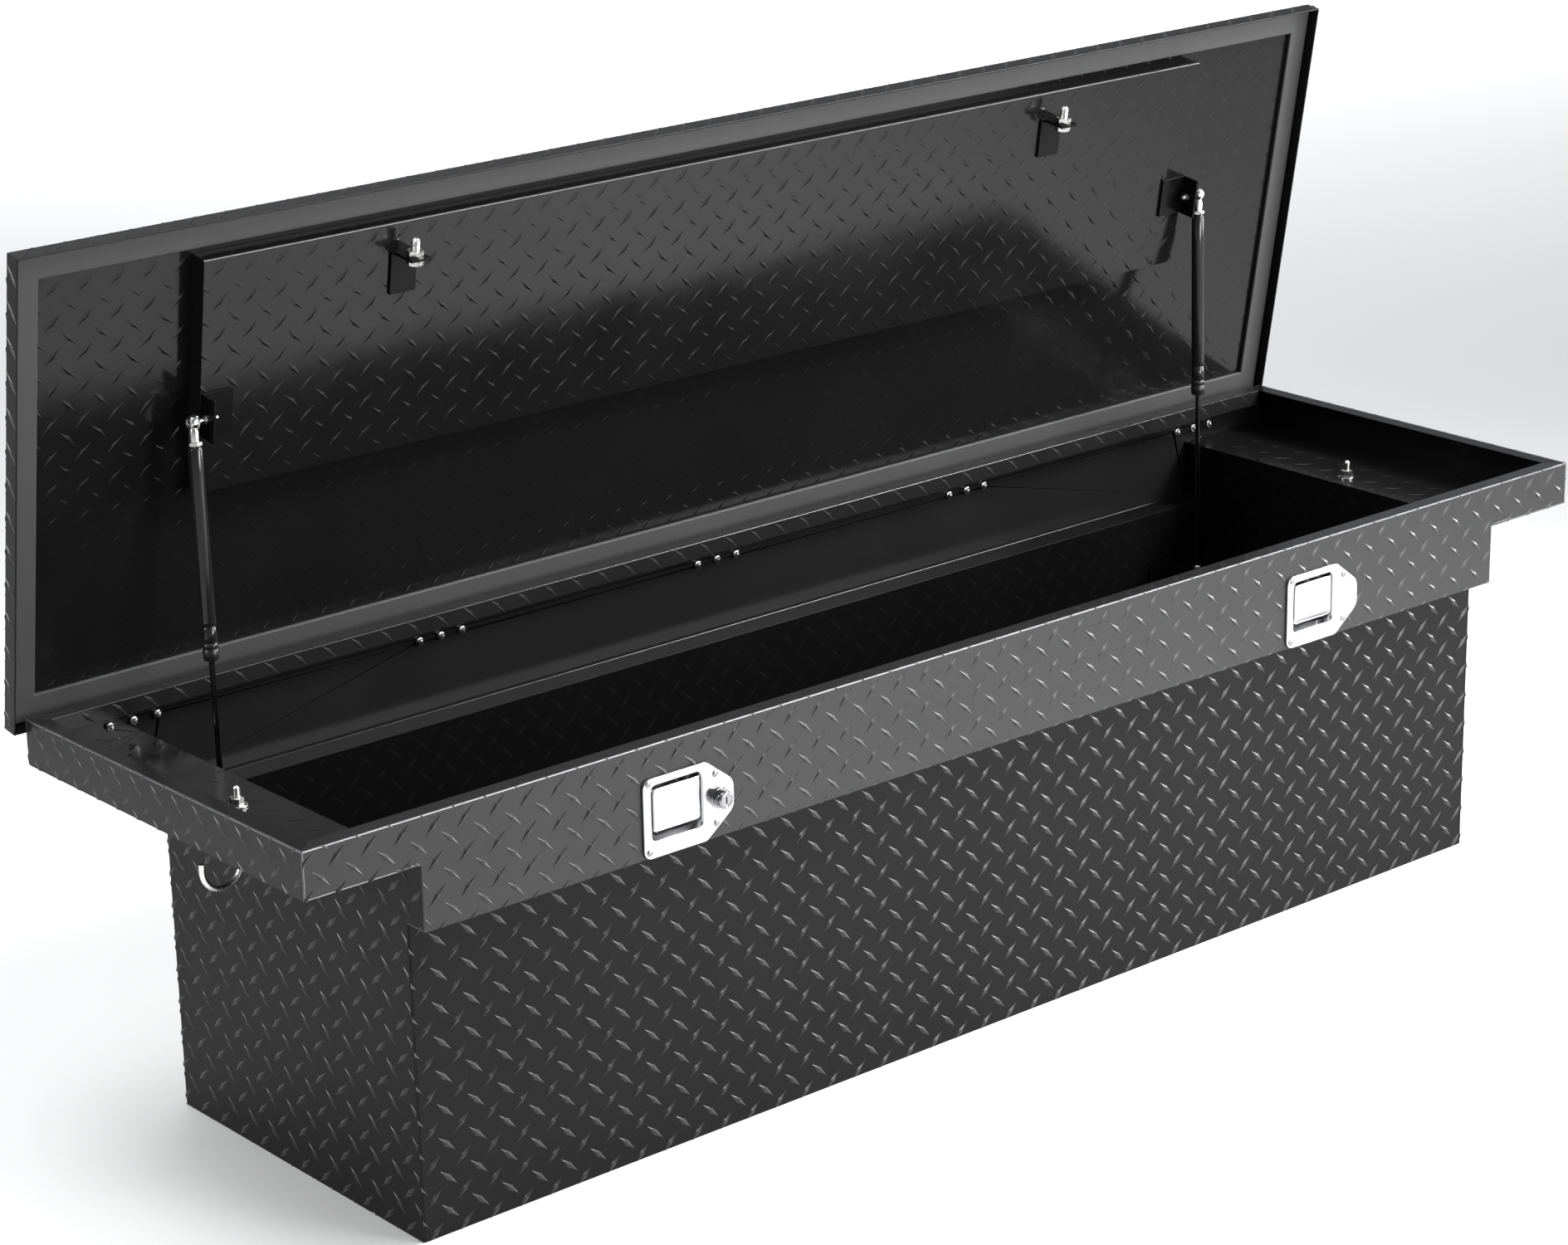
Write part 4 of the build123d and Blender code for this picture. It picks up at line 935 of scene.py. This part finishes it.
def hinge_hardware():
    """Bolt tails with their nuts on the inside, and domed heads on the outside."""
    bolts = Batch()
    nuts = Batch()
    z = HEIGHT - 31 * MM
    inside = REAR - SHEET
    for group in (-2, -1, 0, 1, 2):
        for step in (-1, 0, 1):
            x = 0.384 * group + 0.028 * step
            bolts.thread((x, inside, z), -Y, 7 * MM, 2.6 * MM, 0.8 * MM, 0.25 * MM, 16)
            bolts.lathe((x, inside, z), Y, ((0, 2.4 * MM), (SHEET + 2.5 * MM, 2.4 * MM)), 16)
            dome(bolts, (x, REAR + 2.5 * MM, z), Y, 4.6 * MM, 2.5 * MM)
            nuts.nut((x, inside, z), -Y, 4 * MM, 4.6 * MM, 2.55 * MM, 24)
    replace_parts(bolts.build("hinge_bolts_threaded", ZINC, "box"), "hinge_bolts")
    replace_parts(nuts.build("hinge_nuts_chamfered", ZINC, "box"), "hinge_nuts")


BALL_DROP = Vector((0, -76.0 * MM, -195.0 * MM))
EYE_PROFILE = (
    (-5.5, 4.3), (-5.2, 5.6), (-4.0, 6.6), (-2.0, 7.0), (2.0, 7.0), (4.0, 6.6), (5.2, 5.6), (5.5, 4.3),
    (3.2, 4.29), (1.8, 5.04), (0.0, 5.35), (-1.8, 5.04), (-3.2, 4.29),
)
NECK_PROFILE = ((5.9, 4.2), (8.0, 5.0), (9.5, 5.4), (22.0, 5.4), (23.6, 5.0), (24.0, 4.2))


def ball_socket(name, pivot, away, body):
    """End fitting: an eye round the ball, open toward its stud, and a neck."""
    socket = Batch()
    socket.lathe(pivot, X, [(x * MM, r * MM) for x, r in EYE_PROFILE], 40, ring_shaped=True)
    socket.lathe(pivot, away, [(reach * MM, r * MM) for reach, r in NECK_PROFILE], 32)
    return socket.build(name, ZINC, body, 50)


def strut_hardware():
    for name, side in SIDES:
        pivot = Vector(JOINTS[f"strut_pivot_{name}"]["pos_m"])
        down = -Vector(JOINTS[f"strut_slide_{name}"]["axis"]).normalized()
        tube_body = f"strut_cylinder_{name}"

        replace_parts(ball_socket(f"socket_upper_{name}", pivot, down, tube_body),
                    f"strut_upper_socket_{name}")
        low_pivot = Vector((pivot.x, HINGE.y, HINGE.z)) + BALL_DROP
        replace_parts(ball_socket(f"socket_lower_{name}", low_pivot, -down, f"strut_rod_{name}"),
                    f"strut_lower_socket_{name}")

        tube = Batch()
        tube.lathe(pivot, down, (
            (24.0 * MM, 3.2 * MM), (24.0 * MM, 5.2 * MM), (25.2 * MM, 6.8 * MM), (27.5 * MM, 7.5 * MM),
            (60.0 * MM, 7.5 * MM), (206.0 * MM, 7.5 * MM), (209.0 * MM, 7.5 * MM), (210.0 * MM, 6.9 * MM),
            (211.2 * MM, 6.9 * MM), (212.2 * MM, 7.5 * MM), (226.0 * MM, 7.5 * MM), (228.2 * MM, 7.0 * MM),
            (229.0 * MM, 6.0 * MM), (26.0 * MM, 6.0 * MM),
        ), 40)
        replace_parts(tube.build(f"strut_tube_{name}", STRUT_PAINT, tube_body, 60),
                    f"strut_cylinder_{name}")

        collar = Batch()
        collar.lathe(pivot, down, (
            (228.0 * MM, 6.2 * MM), (228.0 * MM, 7.4 * MM), (228.8 * MM, 8.2 * MM), (233.0 * MM, 8.2 * MM),
            (233.6 * MM, 7.8 * MM), (234.6 * MM, 7.8 * MM), (235.2 * MM, 8.2 * MM), (245.0 * MM, 8.1 * MM),
            (246.6 * MM, 7.2 * MM), (247.0 * MM, 5.0 * MM), (246.0 * MM, 3.3 * MM),
            (229.2 * MM, 3.3 * MM),
        ), 40, ring_shaped=True)
        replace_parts(collar.build(f"strut_wiper_collar_{name}", COLLAR, tube_body, 50),
                    f"strut_guide_{name}")

        # A wire clip that locks the upper socket on its ball, and the jam nut above the tube.
        clip = Batch()
        across = X * -side
        front = down.cross(across).normalized()
        clip_points = []
        for k in range(19):
            turn = math.radians(-150 + 300 * k / 18)
            around = front * math.sin(turn) - down * math.cos(turn)
            clip_points.append(pivot + across * (2.8 * MM) + around * (7.5 * MM))
        clip.tube(clip_points, 0.6 * MM, 8)
        clip.nut(pivot + down * 19.5 * MM, down, 4.2 * MM, 7.6 * MM, 3.4 * MM)
        clip.build(f"strut_clip_upper_{name}", ZINC, tube_body)

    lid_nuts = Batch()
    box_nuts = Batch()
    for name, side in SIDES:
        pivot = Vector(JOINTS[f"strut_pivot_{name}"]["pos_m"])
        web_in = Vector((side * 691.0 * MM, pivot.y, pivot.z))
        lid_nuts.nut(web_in, X * -side, 5 * MM, 5.2 * MM, 2.5 * MM, 36)
        lid_nuts.thread(web_in, X * -side, 9.2 * MM, 2.6 * MM, 0.8 * MM, 0.25 * MM, 16)
        low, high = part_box("strut_box_nuts")
        centre = (low + high) / 2
        seat = (side * 691.0 * MM, centre.y, centre.z)
        box_nuts.nut(seat, X * -side, 5 * MM, 5.2 * MM, 0.4 * MM, 36)
    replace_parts(lid_nuts.build("lid_stud_nuts_chamfered", ZINC, "lid"), "lid_stud_nuts")
    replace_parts(box_nuts.build("strut_box_nuts_chamfered", ZINC, "box"), "strut_box_nuts")


def welds():
    """Weld beads: tacks at the skirt's steps and seams in the wing trays' corners."""
    bead = Batch()
    inner = HALF - SHEET
    for side in (-1, 1):
        for wall in (FRONT + SHEET, REAR - SHEET):
            inward = math.copysign(1.0, -wall)
            run = []
            for k in range(25):
                z = WING_UNDER + SHEET + (HEIGHT - 3 * SHEET - WING_UNDER) * k / 24
                ripple = 0.18 * MM * math.sin(k * 2.1)
                run.append(Vector((side * (inner - 0.5 * MM), wall + inward * (0.5 * MM + ripple), z)))
            bead.tube(run, 1.1 * MM, 10)
    for side in (-1, 1):
        for face in (FRONT, REAR):
            outward = math.copysign(1.0, face)
            run = []
            for k in range(13):
                x = side * (HALF_TUB + 4 * MM + 24 * MM * k / 12)
                swell = math.sin(math.pi * k / 12)
                y = face - outward * (1.0 - 0.9 * swell) * MM
                z = WING_UNDER + (1.6 + 0.5 * math.sin(k * 1.7)) * MM
                run.append(Vector((x, y, z)))
            bead.tube(run, 1.5 * MM, 10)
    bead.build("weld_beads", OUTER_TREAD, "box", 70)


def folded_edges():
    """Painted highlights: thin light metal lines along the folds of the rim, the front corners and the stiffener.
    """
    box = Batch()
    radius = 1.15 * MM
    inset = 0.9 * MM
    top = HEIGHT - inset
    front = FRONT + inset
    for side in (-1, 1):
        end = side * (HALF - inset)
        step = side * (HALF_TUB + 2 * MM)
        low = WING_UNDER + inset
        box.tube([Vector((end, front, top)), Vector((end, REAR - inset, top))], radius, 12)
        box.tube([Vector((end, front, low)), Vector((end, front, top))], radius * 0.85, 12)
        box.tube([Vector((end, front, low)), Vector((step, front, low))], radius * 0.85, 12)
    box.tube([Vector((-HALF + inset, front, top)), Vector((HALF - inset, front, top))], radius, 12)
    box.build("rim_fold_lines", FOLD_HIGHLIGHT_METAL, "box", 70)
    lid = Batch()
    edge_w = STIFF_FACE + 0.7 * MM
    ends = [lid_point(x, STIFF_FRONT + 0.7 * MM, edge_w) for x in (-STIFF_HALF, STIFF_HALF)]
    lid.tube(ends, 0.8 * MM, 12)
    lid.build("stiffener_fold_line", FOLD_HIGHLIGHT_METAL, "lid", 70)


striker_hardware()
j_bolt_hardware()
folded_edges()
latch_plates()
latch_paddles()
lock_barrel()
latch_rivets()
hinge_hardware()
strut_hardware()
welds()

# ---------------------------------------------------------------- studio

CAMERA_PLACE = (-2.7381, -3.0988, 1.7972)
CAMERA_RIGHT = (0.77139, -0.63584, -0.02573)
CAMERA_UP = (0.22111, 0.22991, 0.94776)


def make_camera():
    right = Vector(CAMERA_RIGHT).normalized()
    back = right.cross(Vector(CAMERA_UP)).normalized()
    up = back.cross(right)
    data = bpy.data.cameras.new("camera")
    data.sensor_width = 36.0
    data.lens = 92.48
    data.shift_x = 0.0557
    data.shift_y = -0.0021
    camera = bpy.data.objects.new("camera", data)
    camera.matrix_world = Matrix((
        (right.x, up.x, back.x, CAMERA_PLACE[0]),
        (right.y, up.y, back.y, CAMERA_PLACE[1]),
        (right.z, up.z, back.z, CAMERA_PLACE[2]),
        (0, 0, 0, 1),
    ))
    bpy.context.scene.collection.objects.link(camera)
    bpy.context.scene.camera = camera


def area_light(name, place, target, size, power, spread):
    data = bpy.data.lights.new(name, "AREA")
    data.shape = "RECTANGLE"
    data.size = size[0]
    data.size_y = size[1]
    data.energy = power
    data.spread = math.radians(spread)
    light = bpy.data.objects.new(name, data)
    light.location = place
    light.rotation_mode = "QUATERNION"
    light.rotation_quaternion = (Vector(target) - Vector(place)).to_track_quat("-Z", "Y")
    bpy.context.scene.collection.objects.link(light)


def make_studio():
    size = 30.0
    mesh = bpy.data.meshes.new("floor")
    corners = [(-size, -size, 0), (size, -size, 0), (size, size, 0), (-size, size, 0)]
    mesh.from_pydata([(x, y, -0.3 * MM) for x, y, _ in corners], [], [(0, 1, 2, 3)])
    material, nodes, links, shader = new_material("studio_floor")
    coords = nodes.new("ShaderNodeTexCoord").outputs["Object"]
    tone = noise(nodes, links, coords, 0.7, 2.0)
    links.new(mix_colour(nodes, links, tone, (0.80, 0.80, 0.80), (0.84, 0.84, 0.84)), shader.inputs["Base Color"])
    shader.inputs["Roughness"].default_value = 0.8
    mesh.materials.append(material)
    floor = bpy.data.objects.new("floor", mesh)
    bpy.context.scene.collection.objects.link(floor)

    world = bpy.data.worlds.new("studio")
    world.use_nodes = True
    background = world.node_tree.nodes["Background"]
    background.inputs["Color"].default_value = (0.93, 0.95, 1.0, 1.0)
    background.inputs["Strength"].default_value = 0.26
    bpy.context.scene.world = world

    sky = bpy.data.lights.new("soft_overhead", "SUN")
    sky.energy = 0.95
    sky.angle = math.radians(75)
    overhead = bpy.data.objects.new("soft_overhead", sky)
    overhead.rotation_euler = (math.radians(-14), math.radians(-8), 0)
    bpy.context.scene.collection.objects.link(overhead)
    area_light("key_above", (-0.9, 0.4, 2.8), (0, 0.1, 0.2), (1.6, 0.9), 22, 140)
    area_light("fill_front_right", (1.3, -2.3, 1.25), (0.25, 0.0, 0.5), (2.2, 1.5), 14, 75)
    area_light("tread_kicker", (0.7, -2.7, 0.5), (0.1, 0.0, 0.32), (1.4, 0.45), 9, 110)
    area_light("edge_line", (2.6, -1.5, 2.9), (0.1, -0.2, 0.45), (1.5, 1.0), 34, 60)
    area_light("floor_pool", (1.3, -1.7, 2.2), (1.35, -1.4, 0), (1.0, 0.6), 9, 60)
    area_light("backdrop", (5.2, 7.5, 5.0), (5.2, 7.5, 0), (7.0, 7.0), 420, 120)
    area_light("strip_right", (4.2, -1.5, 0.9), (0.2, -0.1, 0.35), (1.2, 1.5), 19, 70)
    area_light("strip_left", (-3.2, 0.6, 1.5), (-0.6, 0, 0.45), (0.9, 1.2), 9, 70)
    bpy.context.scene.view_settings.view_transform = "Standard"


make_camera()
make_studio()
